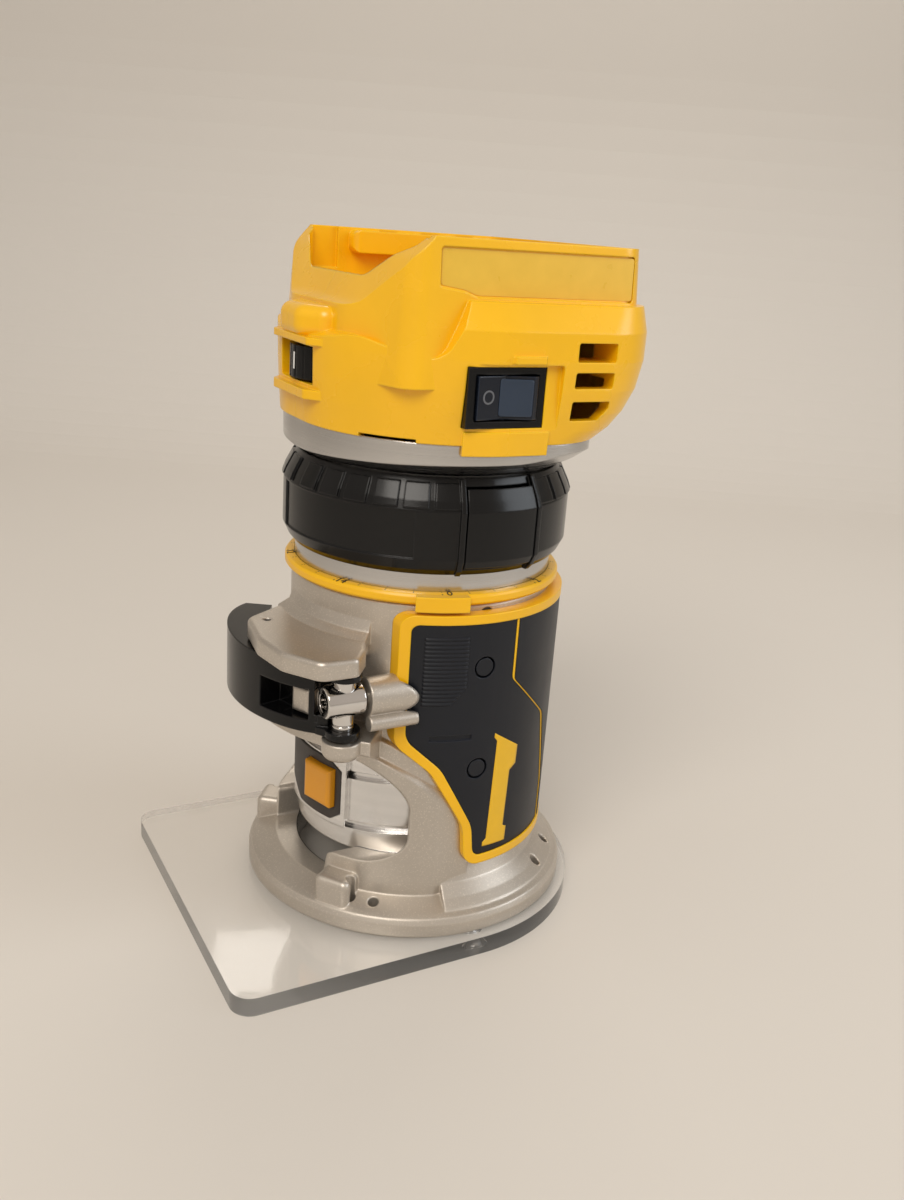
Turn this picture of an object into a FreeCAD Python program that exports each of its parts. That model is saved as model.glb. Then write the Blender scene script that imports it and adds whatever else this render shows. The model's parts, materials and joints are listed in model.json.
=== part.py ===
import FreeCAD, Part
import math
import os

# Cordless trim router: a clamping fixed base with a motor that winds up and down in it.
# Frame: +Z up along the spindle, origin on the spindle axis at the underside of the sub-base.
# The clamp lever, the speed dial and the battery opening face -Y, the power switch faces +X.
# Azimuths are in degrees from -Y towards +X. All lengths are in millimetres.

V = FreeCAD.Vector
OUT = "parts"

# ---- driving dimensions ---------------------------------------------------------------
PLATE_T = 5.5            # clear sub-base
PLATE_HALF = 52.5        # half width, and radius of its round side
PLATE_FRONT = -73.4      # straight front edge
PLATE_CORNER = 6.0
PLATE_HOLE_R = 16.0      # opening for the cutter

FOOT_R = 49.6            # foot of the cast base
FOOT_EDGE_Z = 12.2
FOOT_CROWN_R = 41.0
FOOT_CROWN_Z = 14.6

BORE_R = 34.6            # bore that guides the motor can
TUBE_R = 38.3            # outside of the cast tube
TUBE_TOP = 102.2
NECK_R = 37.5            # machined neck that carries the two rings
NECK_TOP = 120.0
NECK_GROOVE = (116.0, 118.0, 36.7)

WINDOW_HALF = 37.0       # front window in the tube
WINDOW_Z = (24.0, 56.3)
FRONT_GAP_HALF = 19.2    # the window drops to the foot between the two bosses

GRIP_R = 41.6            # outside of the grip pads
TRIM_R = 42.1
GRIP_TOP = 100.2

CAN_R = 34.5             # motor can
CAN_INNER = 31.6
CAN_BOTTOM = 23.0
CAN_TOP = 136.8
LEAD = 16.0              # lead of the helical groove, 32 scale marks of 0.5 mm
GROOVE_W = 2.4
GROOVE_D = 1.4

RING_BOTTOM = 110.6      # depth-adjusting ring
RING_TOP = 136.4
RING_R = 41.2

SCALE_Z = (102.5, 105.6)
SCALE_R = 40.3

DOME_TOP = 146.4         # motor end bell under the housing
HOUSING_BOTTOM = 146.4
LEDGE_Z = 181.3
RIM_Z = 195.6
FLOOR_Z = 176.0          # floor of the battery receptacle
POCKET_HALF = 36.2

LEVER_Z = (66.8, 85.2)
PIVOT_AZ = 41.0
PIVOT_R = 51.0
PIN_R = 3.0              # pivot pin of the lever
CROSS_Z = 77.2           # clamp nut carried by the pin, its axis along Y
CROSS_LENGTH = 10.9
CROSS_END = -33.4
SHELF_Z = (86.0, 91.0)

LOCK_AZ = 18.0           # spindle-lock button
LOCK_Z = 41.4
LOCK_FLOOR_R = 34.0      # floor of the pocket that its plate lies in
LOCK_FACE = (5.55, 5.95) # half width and half height of the button
LOCK_HOLE = (5.85, 6.25) # half width and half height of the hole it slides in

LABEL_DEPTH = 0.7        # bare label recess in the walls of the housing
ROCKER_PIVOT = (44.0, -3.3)
ROCKER_WELL = (41.2, 42.6)  # floor of the switch's well under the rocker's pressed end, and elsewhere

RUN = 0.1                # radial running clearance


# ---- helpers --------------------------------------------------------------------------
def polar(az, r, z=0.0):
    """Point at an azimuth from -Y towards +X."""
    a = math.radians(az)
    return V(r * math.sin(a), -r * math.cos(a), z)


def cyl(r, z0, z1, x=0.0, y=0.0):
    return Part.makeCylinder(r, z1 - z0, V(x, y, z0))


def tube(r0, r1, z0, z1):
    return cyl(r1, z0, z1).cut(cyl(r0, z0 - 1, z1 + 1))


def box(x0, x1, y0, y1, z0, z1):
    return Part.makeBox(x1 - x0, y1 - y0, z1 - z0, V(x0, y0, z0))


def turned(profile, az0=90.0, sweep=360.0):
    """Solid of revolution about Z from (radius, height) points, starting at an azimuth."""
    points = [V(r, 0, z) for r, z in profile]
    face = Part.Face(Part.makePolygon(points + points[:1]))
    face.rotate(V(0, 0, 0), V(0, 0, 1), az0 - 90)
    return face.revolve(V(0, 0, 0), V(0, 0, 1), sweep)


def sector(r0, r1, z0, z1, az0, az1):
    """Part of a ring between two azimuths."""
    pie = Part.makeCylinder(r1, z1 - z0, V(0, 0, z0), V(0, 0, 1), az1 - az0)
    pie.rotate(V(0, 0, 0), V(0, 0, 1), az0 - 90)
    return pie.cut(cyl(r0, z0 - 1, z1 + 1)) if r0 > 0 else pie


def rounded_wire(points, radii):
    """Closed wire through corner points, each corner rounded with its own radius."""
    edges = []
    last = None
    first = None
    count = len(points)
    for i in range(count):
        corner = points[i]
        before = (points[i - 1] - corner).normalize()
        after = (points[(i + 1) % count] - corner).normalize()
        half = before.getAngle(after) / 2
        if radii[i] > 0:
            reach = radii[i] / math.tan(half)
            start = corner + before * reach
            end = corner + after * reach
            inward = (before + after).normalize()
            middle = corner + inward * (radii[i] / math.sin(half) - radii[i])
            arc = Part.Arc(start, middle, end).toShape()
        else:
            start = corner
            end = corner
            arc = None
        if last is not None:
            edges.append(Part.makeLine(last, start))
        if arc is not None:
            edges.append(arc)
        if first is None:
            first = start
        last = end
    edges.append(Part.makeLine(last, first))
    return Part.Wire(edges)


def prism(points, radii, direction):
    """Rounded polygon pushed along a direction."""
    if not isinstance(radii, (list, tuple)):
        radii = [radii] * len(points)
    return Part.Face(rounded_wire(points, radii)).extrude(direction)


def prism_x(yz, x0, x1, radii=0):
    return prism([V(x0, y, z) for y, z in yz], radii, V(x1 - x0, 0, 0))


def prism_y(xz, y0, y1, radii=0):
    return prism([V(x, y0, z) for x, z in xz], radii, V(0, y1 - y0, 0))


def prism_z(xy, z0, z1, radii=0):
    return prism([V(x, y, z0) for x, y in xy], radii, V(0, 0, z1 - z0))


def radial_pin(radius, az, z, r0, r1):
    """Cylinder along a radius."""
    return Part.makeCylinder(radius, r1 - r0, polar(az, r0, z), polar(az, 1))


def radial_box(az, r0, r1, half, z0, z1):
    """Box whose length runs along a radius."""
    block = box(r0, r1, -half, half, z0, z1)
    block.rotate(V(0, 0, 0), V(0, 0, 1), az - 90)
    return block


def fused(shapes):
    whole = shapes[0]
    for shape in shapes[1:]:
        whole = whole.fuse(shape)
    return whole.removeSplitter()


def cut(shape, tools):
    for tool in tools:
        shape = shape.cut(tool)
    return shape


def group(solids):
    return Part.makeCompound(solids)


def mirrored_x(shape):
    return shape.mirror(V(0, 0, 0), V(1, 0, 0))


# ---- fixed base -----------------------------------------------------------------------
SCREW_AZ = [0, 90, 180, 270]
SCREW_R = 43.5
FOOT_HOLE_AZ = [43, 52, 128, 146, 214, 232, 308, 317]
FOOT_HOLE_R = 44.3
PIN_AZ = [91, 271]
PIN_Z = 99.0


def sub_base_plate():
    straight = [(-PLATE_HALF, 0), (-PLATE_HALF, PLATE_FRONT), (PLATE_HALF, PLATE_FRONT), (PLATE_HALF, 0)]
    plate = prism_z(straight, 0, PLATE_T, [0, PLATE_CORNER, PLATE_CORNER, 0])
    plate = fused([plate, cyl(PLATE_HALF, 0, PLATE_T)])
    plate = plate.cut(cyl(PLATE_HOLE_R, -1, PLATE_T + 1))
    for az in SCREW_AZ:
        p = polar(az, SCREW_R)
        plate = plate.cut(cyl(1.8, -1, PLATE_T + 1, p.x, p.y))
        plate = plate.cut(Part.makeCone(4.0, 1.8, 2.6, V(p.x, p.y, 0)))
    return plate


def sub_base_screws():
    solids = []
    for az in SCREW_AZ:
        p = polar(az, SCREW_R)
        head = Part.makeCone(3.55, 1.75, 2.2, V(p.x, p.y, 0.4))
        shank = cyl(1.75, 2.0, 11.0, p.x, p.y)
        solids.append(fused([head, shank]).cut(cyl(1.2, 0, 1.8, p.x, p.y)))
    return group(solids)


def window_prism():
    low, high = WINDOW_Z
    w = WINDOW_HALF
    g = FRONT_GAP_HALF
    outline = [(-w, high), (-w, low), (-g - 1.5, low), (-g, FOOT_CROWN_Z - 0.1),
               (g, FOOT_CROWN_Z - 0.1), (g + 1.5, low), (w, low), (w, high)]
    return prism_y(outline, -70, 0, [15, 9, 2, 1, 1, 2, 9, 15])


def arch_prism(half, top, radius):
    """Front view of an arch that stands on the foot."""
    return prism_y([(-half, top), (-half, 8), (half, 8), (half, top)], -70, 0, [radius, 0, 0, radius])


def shelf_outline():
    """Plan of the cast shelf that roofs the clamp."""
    return [(-8.7, -34), (-9.5, -38.5), (0.5, -54.2), (16.5, -56.4), (29.5, -54.4),
            (39.6, -47.5), (39.6, -37.2), (33.5, -32.5), (24, -28)]


def base_casting():
    body = turned([(BORE_R, PLATE_T), (FOOT_R - 0.8, PLATE_T), (FOOT_R, PLATE_T + 0.8),
                   (FOOT_R, FOOT_EDGE_Z - 2.4), (FOOT_R - 0.7, FOOT_EDGE_Z - 0.8),
                   (FOOT_R - 2.4, FOOT_EDGE_Z), (FOOT_CROWN_R, FOOT_CROWN_Z), (TUBE_R, FOOT_CROWN_Z + 0.2),
                   (TUBE_R, TUBE_TOP - 0.8), (TUBE_R - 0.8, TUBE_TOP), (NECK_R, TUBE_TOP),
                   (NECK_R, NECK_GROOVE[0]), (NECK_GROOVE[2], NECK_GROOVE[0]),
                   (NECK_GROOVE[2], NECK_GROOVE[1]), (NECK_R, NECK_GROOVE[1]),
                   (NECK_R, NECK_TOP - 0.8), (NECK_R - 0.8, NECK_TOP), (BORE_R, NECK_TOP)])
    blend = turned([(TUBE_R - 1, 26), (TUBE_R, 26), (38.9, 21.5), (40.8, 17.6), (44.2, 14.6),
                    (47, 12.6), (47, 11), (TUBE_R - 1, 11)], 78, 204)
    web = tube(TUBE_R - 1, 40.0, 10, 66).common(arch_prism(39.3, 64, 17))
    rib = tube(TUBE_R - 1, 41.4, 10, 66).common(arch_prism(WINDOW_HALF + 3.0, WINDOW_Z[1] + 3.0, 18))
    shelf = prism_z(shelf_outline(), SHELF_Z[0], SHELF_Z[1], [0, 2, 5, 6, 6, 4, 2.5, 3, 0])
    shelf = shelf.makeFillet(1.2, [e for e in shelf.Edges if e.BoundBox.ZMin > SHELF_Z[1] - 0.1])
    flare = turned([(TUBE_R - 1, SHELF_Z[1] + 5), (TUBE_R, SHELF_Z[1] + 5), (39.3, SHELF_Z[1] + 1.8),
                    (42.5, SHELF_Z[1] - 0.2), (42.5, SHELF_Z[1] - 2), (TUBE_R - 1, SHELF_Z[1] - 2)], -11, 54)
    sill = turned([(TUBE_R - 1, 56), (TUBE_R, 56), (46, 59.4), (50.5, 62), (50.5, 65.9),
                   (TUBE_R - 1, 65.9)], -18, 68)
    hood = sector(TUBE_R - 1, 42.8, 60, SHELF_Z[0] + 1, -16, 36.5)
    pivot = polar(PIVOT_AZ, PIVOT_R)
    ear = Part.makeCylinder(5.4, 14, V(pivot.x, CROSS_END + 1.1, CROSS_Z), V(0, 1, 0))
    peg = Part.makeCylinder(2.1, 14, V(pivot.x + 4.2, CROSS_END + 0.6, CROSS_Z - 6.0), V(0, 1, 0))
    foot_of_pin = cyl(5.4, 60.5, 65.9, pivot.x, pivot.y)
    foot_of_pin = foot_of_pin.makeFillet(2.5, [e for e in foot_of_pin.Edges if e.BoundBox.ZMax < 61])
    lug = sector(42, 52.6, 70.6, 78.3, 23.2, 30.4)
    lug = lug.makeFillet(1.2, [e for e in lug.Edges if e.CenterOfMass.distanceToPoint(V(0, 0, 74.5)) > 52])
    solid = fused([body, blend, web, rib, shelf, flare, sill, hood, ear, peg, foot_of_pin, lug])
    solid = solid.cut(grip_region(0, TRIM_R + 1))
    bosses = []
    for az in (-37, 37):
        block = radial_box(az, 35.5, 48.2, 5.4, 8, 19.6)
        bosses.append(block.makeFillet(1.8, block.Edges))
    solid = fused([solid] + bosses)
    tools = [cyl(BORE_R, PLATE_T - 1, NECK_TOP + 1), window_prism()]
    tools.append(sector(BORE_R - 1, 39.4, 50, SHELF_Z[1] + 0.5, -14.0, 33.5))
    tools.append(radial_box(35.2, BORE_R - 1, 43.6, 0.6, 50, 84))
    for az in SCREW_AZ:
        p = polar(az, SCREW_R)
        tools.append(cyl(1.75, 4, 11.0, p.x, p.y))
    for az in FOOT_HOLE_AZ:
        p = polar(az, FOOT_HOLE_R)
        tools.append(cyl(1.6, 4, 20, p.x, p.y))
    for az in PIN_AZ:
        tools.append(radial_pin(2.0, az, PIN_Z, BORE_R - 2, TUBE_R + 1))
    tools.append(cyl(PIN_R + 0.2, SHELF_Z[0] - 0.5, SHELF_Z[0] + 1.5, pivot.x, pivot.y))
    roll = polar(4.5, 49.5)
    tools.append(cyl(1.25, SHELF_Z[0] - 1, SHELF_Z[1] + 1, roll.x, roll.y))
    return cut(solid, tools)


def guide_pins():
    """Pins through the tube wall that keep the motor from turning."""
    return group([radial_pin(1.98, az, PIN_Z, BORE_R - 1.2, TUBE_R - 0.3) for az in PIN_AZ])


def shelf_roll_pin():
    p = polar(4.5, 49.5)
    return tube(0.6, 1.25, SHELF_Z[0] + 0.5, SHELF_Z[1] - 0.4).translated(V(p.x, p.y, 0))


def grip_outline(inset):
    """Side view (y, z) of the overmoulded grip, front edge to past the back."""
    i = inset
    return [(-23.6 + i, GRIP_TOP - i), (-23.6 + i, 62.3 + i * 0.6), (-14.0 + i, 54.0 + i * 0.4),
            (-3.5 + i, 36.0), (-2.4 + i, 23.2 + i), (60, 23.2 + i), (60, GRIP_TOP - i)]


def grip_region(inset, outer):
    radii = [4 - inset * 0.7, 6, 12, 12, 5 - inset * 0.7, 0, 0]
    shell = tube(TUBE_R, outer, 20, 104)
    return shell.common(prism_x(grip_outline(inset), -60, 60, radii))


def rear_panel_prism(inset):
    """Side view (y, z) of the raised centre panel at the back of the grip."""
    i = inset
    outline = [(9.4 + i, 110), (9.4 + i, 79.8 - i * 0.4), (25.1 + i, 64.2 - i * 0.3), (30.2 + i, 38.6),
               (30.2 + i, 10), (60, 10), (60, 110)]
    return prism_x(outline, -60, 60, [0, 2.5, 5, 8, 0, 0, 0])


def grip_trim():
    ring = grip_region(0, TRIM_R).cut(grip_region(2.6, TRIM_R + 1))
    line = grip_region(2.6, GRIP_R + 0.15)
    line = line.common(rear_panel_prism(0)).cut(rear_panel_prism(0.8))
    return fused([ring, line])


def grip_pads():
    pads = grip_region(2.6, GRIP_R).cut(rear_panel_prism(0))
    for side in (1, -1):
        for z in (84.7, 54.1):
            pads = pads.cut(radial_pin(3.2, side * 89.5, z, TUBE_R + 0.9, GRIP_R + 2))
        pads = pads.cut(sector(GRIP_R - 0.5, GRIP_R + 1, 63.4, 65.0, side * 77.5 - 8.5, side * 77.5 + 8.5))
    right = pads.common(box(0, 60, -60, 60, 0, 120))
    left = pads.common(box(-60, 0, -60, 60, 0, 120))
    return right, left


def grip_rear_panel():
    return grip_region(2.6, GRIP_R + 0.3).common(rear_panel_prism(0.8))


def grip_plugs():
    solids = []
    for side in (1, -1):
        for z in (84.7, 54.1):
            solids.append(radial_pin(2.6, side * 89.5, z, TUBE_R + 0.9, GRIP_R - 0.2))
    return group(solids)


def depth_scale_ring():
    ring = turned([(NECK_R + RUN, SCALE_Z[0]), (SCALE_R - 0.5, SCALE_Z[0]), (SCALE_R, SCALE_Z[0] + 0.6),
                   (SCALE_R, SCALE_Z[1] - 0.9), (SCALE_R - 0.5, SCALE_Z[1] - 0.2),
                   (38.6, SCALE_Z[1]), (NECK_R + RUN, SCALE_Z[1])])
    tab = sector(38.7, 42.4, 101.2, SCALE_Z[1] - 0.2, 61, 81)
    return fused([ring, tab])


# ---- clamp ----------------------------------------------------------------------------
def lever_arm():
    inner = 44.6
    tip_az = -31
    end_az = 37
    steps = [(tip_az, 52.5), (-24, 55.2), (-12, 57.0), (2, 57.4), (16, 56.6), (28, 55.0), (end_az, 52.4)]
    outer_points = [polar(az, r, LEVER_Z[0]) for az, r in steps]
    outer = Part.BSplineCurve()
    outer.interpolate(outer_points)
    a = polar(tip_az, inner, LEVER_Z[0])
    m = polar((tip_az + end_az) / 2, inner, LEVER_Z[0])
    b = polar(end_az, inner, LEVER_Z[0])
    edges = [outer.toShape(), Part.makeLine(outer_points[-1], b), Part.Arc(b, m, a).toShape(),
             Part.makeLine(a, outer_points[0])]
    arm = Part.Face(Part.Wire(edges)).extrude(V(0, 0, LEVER_Z[1] - LEVER_Z[0]))
    pivot = polar(PIVOT_AZ, PIVOT_R)
    eyes = []
    for z0, z1 in ((LEVER_Z[0] + 0.2, 69.0), (83.7, LEVER_Z[1] - 0.1)):
        eye = cyl(4.8, z0, z1, pivot.x, pivot.y)
        web = sector(46.7, 54.2, z0, z1, 34, 40.5)
        eyes.append(fused([eye, web]))
    lever = fused([arm] + eyes)
    lever = lever.cut(sector(50, 60, 70.2, 79.2, 14.6, 31.5))
    lever = lever.cut(sector(40, 53.4, 70.0, 78.9, 21.5, 34.0))
    lever = lever.cut(cyl(7.7, CROSS_Z - 5.0, CROSS_Z + 5.0, pivot.x, pivot.y))
    lever = lever.cut(cyl(PIN_R + RUN, 60, 90, pivot.x, pivot.y))
    return lever


def clamp_cross():
    """Chromed cross: the upright pivot pin and the clamp nut that it carries."""
    pivot = polar(PIVOT_AZ, PIVOT_R)
    pin = cyl(PIN_R, 66.2, 87.0, pivot.x, pivot.y)
    grooves = []
    for z in (70.4, 83.0):
        groove = tube(PIN_R - 0.3, PIN_R + 1, z, z + 0.4)
        grooves.append(groove.translated(V(pivot.x, pivot.y, 0)))
    start = V(pivot.x, CROSS_END - CROSS_LENGTH, CROSS_Z)
    barrel = Part.makeCylinder(4.4, CROSS_LENGTH, start, V(0, 1, 0))
    barrel = barrel.makeFillet(0.5, barrel.Edges)
    socket = Part.makeCylinder(2.5, 4.0, start, V(0, 1, 0))
    return cut(fused([pin, barrel]), grooves + [socket])


def clamp_bolt():
    """Bolt from the cross into the ear of the base."""
    pivot = polar(PIVOT_AZ, PIVOT_R)
    return Part.makeCylinder(2.0, 0.9, V(pivot.x, CROSS_END + 0.1, CROSS_Z), V(0, 1, 0))


# ---- depth ring -----------------------------------------------------------------------
def ring_profile(grow):
    return [(NECK_R + RUN, RING_BOTTOM), (38.4 + grow, RING_BOTTOM), (39.8 + grow, 112.2),
            (RING_R + grow, 115.2), (RING_R + grow, 128.3), (RING_R - 1.0 + grow, 131.0),
            (37.4 + grow, RING_TOP), (35.0, RING_TOP), (35.0, NECK_TOP + 0.4),
            (NECK_R + RUN, NECK_TOP + 0.4)]


TAB_AZ = [92.5, 272.5]
TAB_HALF = 14.6


def depth_ring():
    ring = turned(ring_profile(0))
    pads = []
    for start in TAB_AZ:
        for offset in (22, 33.5, 45, 57, 69, 81, -22, -33.5, -45, -57, -69, -81):
            pad = turned(ring_profile(0.7), start + offset - 4.6, 9.2)
            pads.append(pad.common(tube(36, 43, 129.0, 135.2)))
        for side in (1, -1):
            rail_az = start + side * (TAB_HALF + 1.7)
            pads.append(turned(ring_profile(1.3), rail_az - 1.0, 2.0))
    ring = fused([ring] + pads)
    tools = []
    for az in TAB_AZ:
        tools.append(sector(36, 44, 112.6, 134.4, az - TAB_HALF - 0.5, az + TAB_HALF + 0.5))
    for az in (25, 205):
        tools.append(sector(RING_R - 0.5, 44, 115.4, 128.1, az - 34, az + 34))
    for az, z in THREAD_PINS:
        tools.append(radial_pin(1.0, az, z, 34, 37.5))
    return cut(ring, tools)


THREAD_PINS = [(2.0, 125.0), (182.0, 125.0 + LEAD / 2)]


def thread_pins():
    """Steel pins in the ring that ride in the motor's helical groove."""
    return group([radial_pin(0.98, az, z, CAN_R - GROOVE_D + 0.3, 37.4) for az, z in THREAD_PINS])


def release_tab(az):
    """Quick-release button in the side of the depth ring."""
    body = turned([(39.1, 113.0), (41.2, 113.0), (42.3, 115.2), (42.3, 128.4), (41.3, 131.2),
                   (39.9, 134.0), (39.1, 134.0)], az - TAB_HALF, 2 * TAB_HALF)
    return body


# ---- motor ----------------------------------------------------------------------------
def helical_groove(z0, z1, az0):
    """Right-hand groove round the can: a box section swept along a helix."""
    height = z1 - z0
    path = Part.makeHelix(LEAD, height, CAN_R)
    path.rotate(V(0, 0, 0), V(0, 0, 1), az0 - 90)
    path.translate(V(0, 0, z0))
    p = polar(az0, 1)
    out = V(p.x, p.y, 0)
    base = out * (CAN_R - GROOVE_D) + V(0, 0, z0 - GROOVE_W / 2)
    top = out * (CAN_R + 1) + V(0, 0, z0 - GROOVE_W / 2)
    up = V(0, 0, GROOVE_W)
    section = Part.makePolygon([base, top, top + up, base + up, base])
    sweep = Part.Wire(path).makePipeShell([section], True, True)
    return sweep


def motor_can():
    can = tube(CAN_INNER, CAN_R, CAN_BOTTOM, CAN_TOP)
    floor = turned([(13.0, CAN_BOTTOM), (CAN_R, CAN_BOTTOM), (CAN_R, CAN_BOTTOM + 4), (20, CAN_BOTTOM + 4),
                    (17, CAN_BOTTOM + 12.5), (14, CAN_BOTTOM + 12.5), (14, CAN_BOTTOM + 4.5),
                    (13.0, CAN_BOTTOM + 4.5)])
    pad = sector(CAN_INNER, 36.2, 29.6, 51.0, -12.5, 32.5)
    can = fused([can, floor, pad])
    can = can.cut(lock_pocket(LOCK_FLOOR_R - 0.05)).cut(lock_hole())
    for az in PIN_AZ:
        slot = radial_box(az, CAN_R - 1.7, CAN_R + 2, 2.25, CAN_BOTTOM - 1, PIN_Z + 5)
        can = can.cut(slot)
    return can


def lock_hole():
    """Hole that the whole button slides in, through the plate and the wall of the can."""
    half, tall = LOCK_HOLE
    return radial_box(LOCK_AZ, 25, 40, half, LOCK_Z - tall, LOCK_Z + tall)


def lock_pocket(floor_r):
    """Seven-sided pocket for the spindle-lock plate, on the outside of the can."""
    outline = [(-6.6, 36.5), (1.0, 31.2), (15.2, 31.2), (18.1, 33.5), (18.1, 47.2), (13.8, 50.2),
               (-6.6, 50.2)]
    block = prism_y(outline, -40, -20)
    return block.cut(cyl(floor_r, 20, 60))


def spindle_lock_plate():
    return lock_pocket(LOCK_FLOOR_R).common(cyl(36.6, 20, 60)).cut(lock_hole())


def lock_button():
    half, tall = LOCK_FACE
    face = radial_box(LOCK_AZ, 34.7, 38.6, half, LOCK_Z - tall, LOCK_Z + tall)
    edges = [e for e in face.Edges if e.CenterOfMass.distanceToPoint(V(0, 0, LOCK_Z)) > 38.0]
    face = face.makeFillet(1.2, edges) if edges else face
    stem = radial_box(LOCK_AZ, 28, 35, 4.0, LOCK_Z - 4.0, LOCK_Z + 4.0)
    stem = stem.fuse(radial_pin(2.4, LOCK_AZ, LOCK_Z, 10.2, 29))
    return fused([face, stem])


def bearing_dome():
    """Cast end bell whose rim follows the housing."""
    outer = turned([(0, CAN_TOP), (36.6, CAN_TOP), (39.5, 138.2), (43.2, 140.2), (47.5, 143.4),
                    (52, 145.2), (60, DOME_TOP), (0, DOME_TOP)])
    plan = housing_solid([(CAN_TOP - 1, 44.6, -39.8, 35.2, 40, 23.4),
                          (DOME_TOP + 1, 44.9, -40.0, 35.5, 40, 23.6)])
    bell = outer.common(plan)
    hollow = turned([(13.5, 139.2), (28, 139.2), (32, 142.5), (32, DOME_TOP + 1), (13.5, DOME_TOP + 1)])
    seats = [cyl(11, 139.5, DOME_TOP + 1), cyl(8, CAN_TOP - 1, 140)]
    return cut(bell, [hollow, housing_tab(), mirrored_x(housing_tab())] + seats)


def stator_core():
    core = tube(15.0, CAN_INNER - 0.1, 56, 100)
    tools = []
    for i in range(6):
        tools.append(radial_box(i * 60, 14, 26, 2.6, 55, 101))
    return cut(core, tools)


def stator_windings():
    coils = []
    for z0 in (48.5, 100.0):
        for i in range(6):
            coils.append(sector(16.5, 27.5, z0, z0 + 7.5, i * 60 + 8, i * 60 + 52))
    return group(coils)


def bearing(r0, r1, z0, z1):
    mid = (r0 + r1) / 2
    outer = tube(mid + 1.2, r1, z0, z1)
    inner = tube(r0, mid - 1.2, z0, z1)
    shield = tube(mid - 1.2, mid + 1.2, z0 + 0.4, z1 - 0.4)
    return fused([outer, inner, shield])


def spindle():
    shaft = turned([(5.6, 14), (7.4, 14), (7.4, 21.5), (9.0, 22.0), (9.0, 26.6), (5.94, 26.6),
                    (5.94, 37.5), (9.0, 37.5), (9.0, 45.5), (5.0, 45.5), (5.0, 137), (3.94, 137),
                    (3.94, 146.0), (0, 146.0), (0, 20.6), (4.7, 20.6)])
    for az in (LOCK_AZ, LOCK_AZ + 180):
        shaft = shaft.cut(radial_pin(2.7, az, LOCK_Z, 6.4, 10))
    return shaft


def rotor_core():
    return tube(5.0, 14.4, 56, 100)


def cooling_fan():
    disc = turned([(5.0, 110), (9, 110), (9, 118), (28.5, 122), (28.5, 123.4), (9, 121.5), (5.0, 121.5)])
    blades = [radial_box(i * 40, 8.6, 28.2, 0.6, 112, 122.3) for i in range(9)]
    return fused([disc] + blades)


def collet():
    body = turned([(3.2, 7.6), (6.3, 7.6), (6.3, 9.0), (4.7, 20.0), (3.2, 20.0)])
    return cut(body, [radial_box(az, 3.0, 8, 0.35, 7, 17) for az in (0, 90, 180, 270)])


def collet_nut():
    hexagon = Part.makePolygon([polar(60 * i, 11.0, 9.5) for i in range(7)])
    nut = Part.Face(hexagon).extrude(V(0, 0, 7.5))
    nut = fused([nut, cyl(10.2, 17, 19.5), cyl(8.6, 7.2, 9.6)])
    return cut(nut, [cyl(6.4, 7, 9.1), cyl(7.4, 9.0, 20)])


def led_ring():
    return tube(20.5, 29.5, 21.9, CAN_BOTTOM)


# ---- housing --------------------------------------------------------------------------
def plan_wire(z, side, front, rear, front_r, rear_r):
    corners = [V(-side, front, z), V(side, front, z), V(side, rear, z), V(-side, rear, z)]
    return rounded_wire(corners, [front_r, front_r, rear_r, rear_r])


def housing_solid(levels):
    return Part.makeLoft([plan_wire(*level) for level in levels], True, True)


def upper_solid(levels, inset):
    """Upper body: flat side walls whose front slants in to a blunt nose."""
    wires = []
    for z, side, front, rear in levels:
        half = [V(17, front + inset, z), V(side - inset, front + inset + 8.4, z),
                V(side - inset, rear - inset, z)]
        corners = [V(-p.x, p.y, z) for p in half[::-1]] + half
        wires.append(rounded_wire(corners, [8, 6, 16, 16, 6, 8]))
    return Part.makeLoft(wires, True, True)


BELT = [(HOUSING_BOTTOM, 45.6, -40.8, 36.2, 40.5, 24), (149.6, 46.1, -40.9, 39.8, 40.7, 22.5),
        (154.0, 46.8, -41.1, 42.6, 41.0, 21), (160.0, 47.5, -41.2, 45.2, 41.1, 20.5),
        (167.5, 48.0, -41.3, 46.6, 41.2, 20.5), (174.8, 48.0, -41.3, 46.6, 41.2, 20.5),
        (LEDGE_Z, 44.2, -39.6, 44.3, 39.0, 14)]
UPPER = [(160.0, 41.6, -37.4, 42.6), (RIM_Z, 39.8, -35.4, 40.8)]
SWITCH_Y = (-14.6, 7.8)
SWITCH_Z = (151.0, 166.2)
DIAL_Z = (156.6, 166.4)
DIAL_HALF = 11.2
DIAL_AXIS_Y = -29.5


def housing_tab():
    """Tongue of the housing that laps down over the end bell below the switch."""
    skirt = housing_solid([(143, 46.2, -41, 43, 40.5, 15), (150.5, 46.6, -41, 43.5, 40.5, 15)])
    return sector(42, 49.2, 143.9, 150, 72.5, 102).common(skirt)


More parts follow.
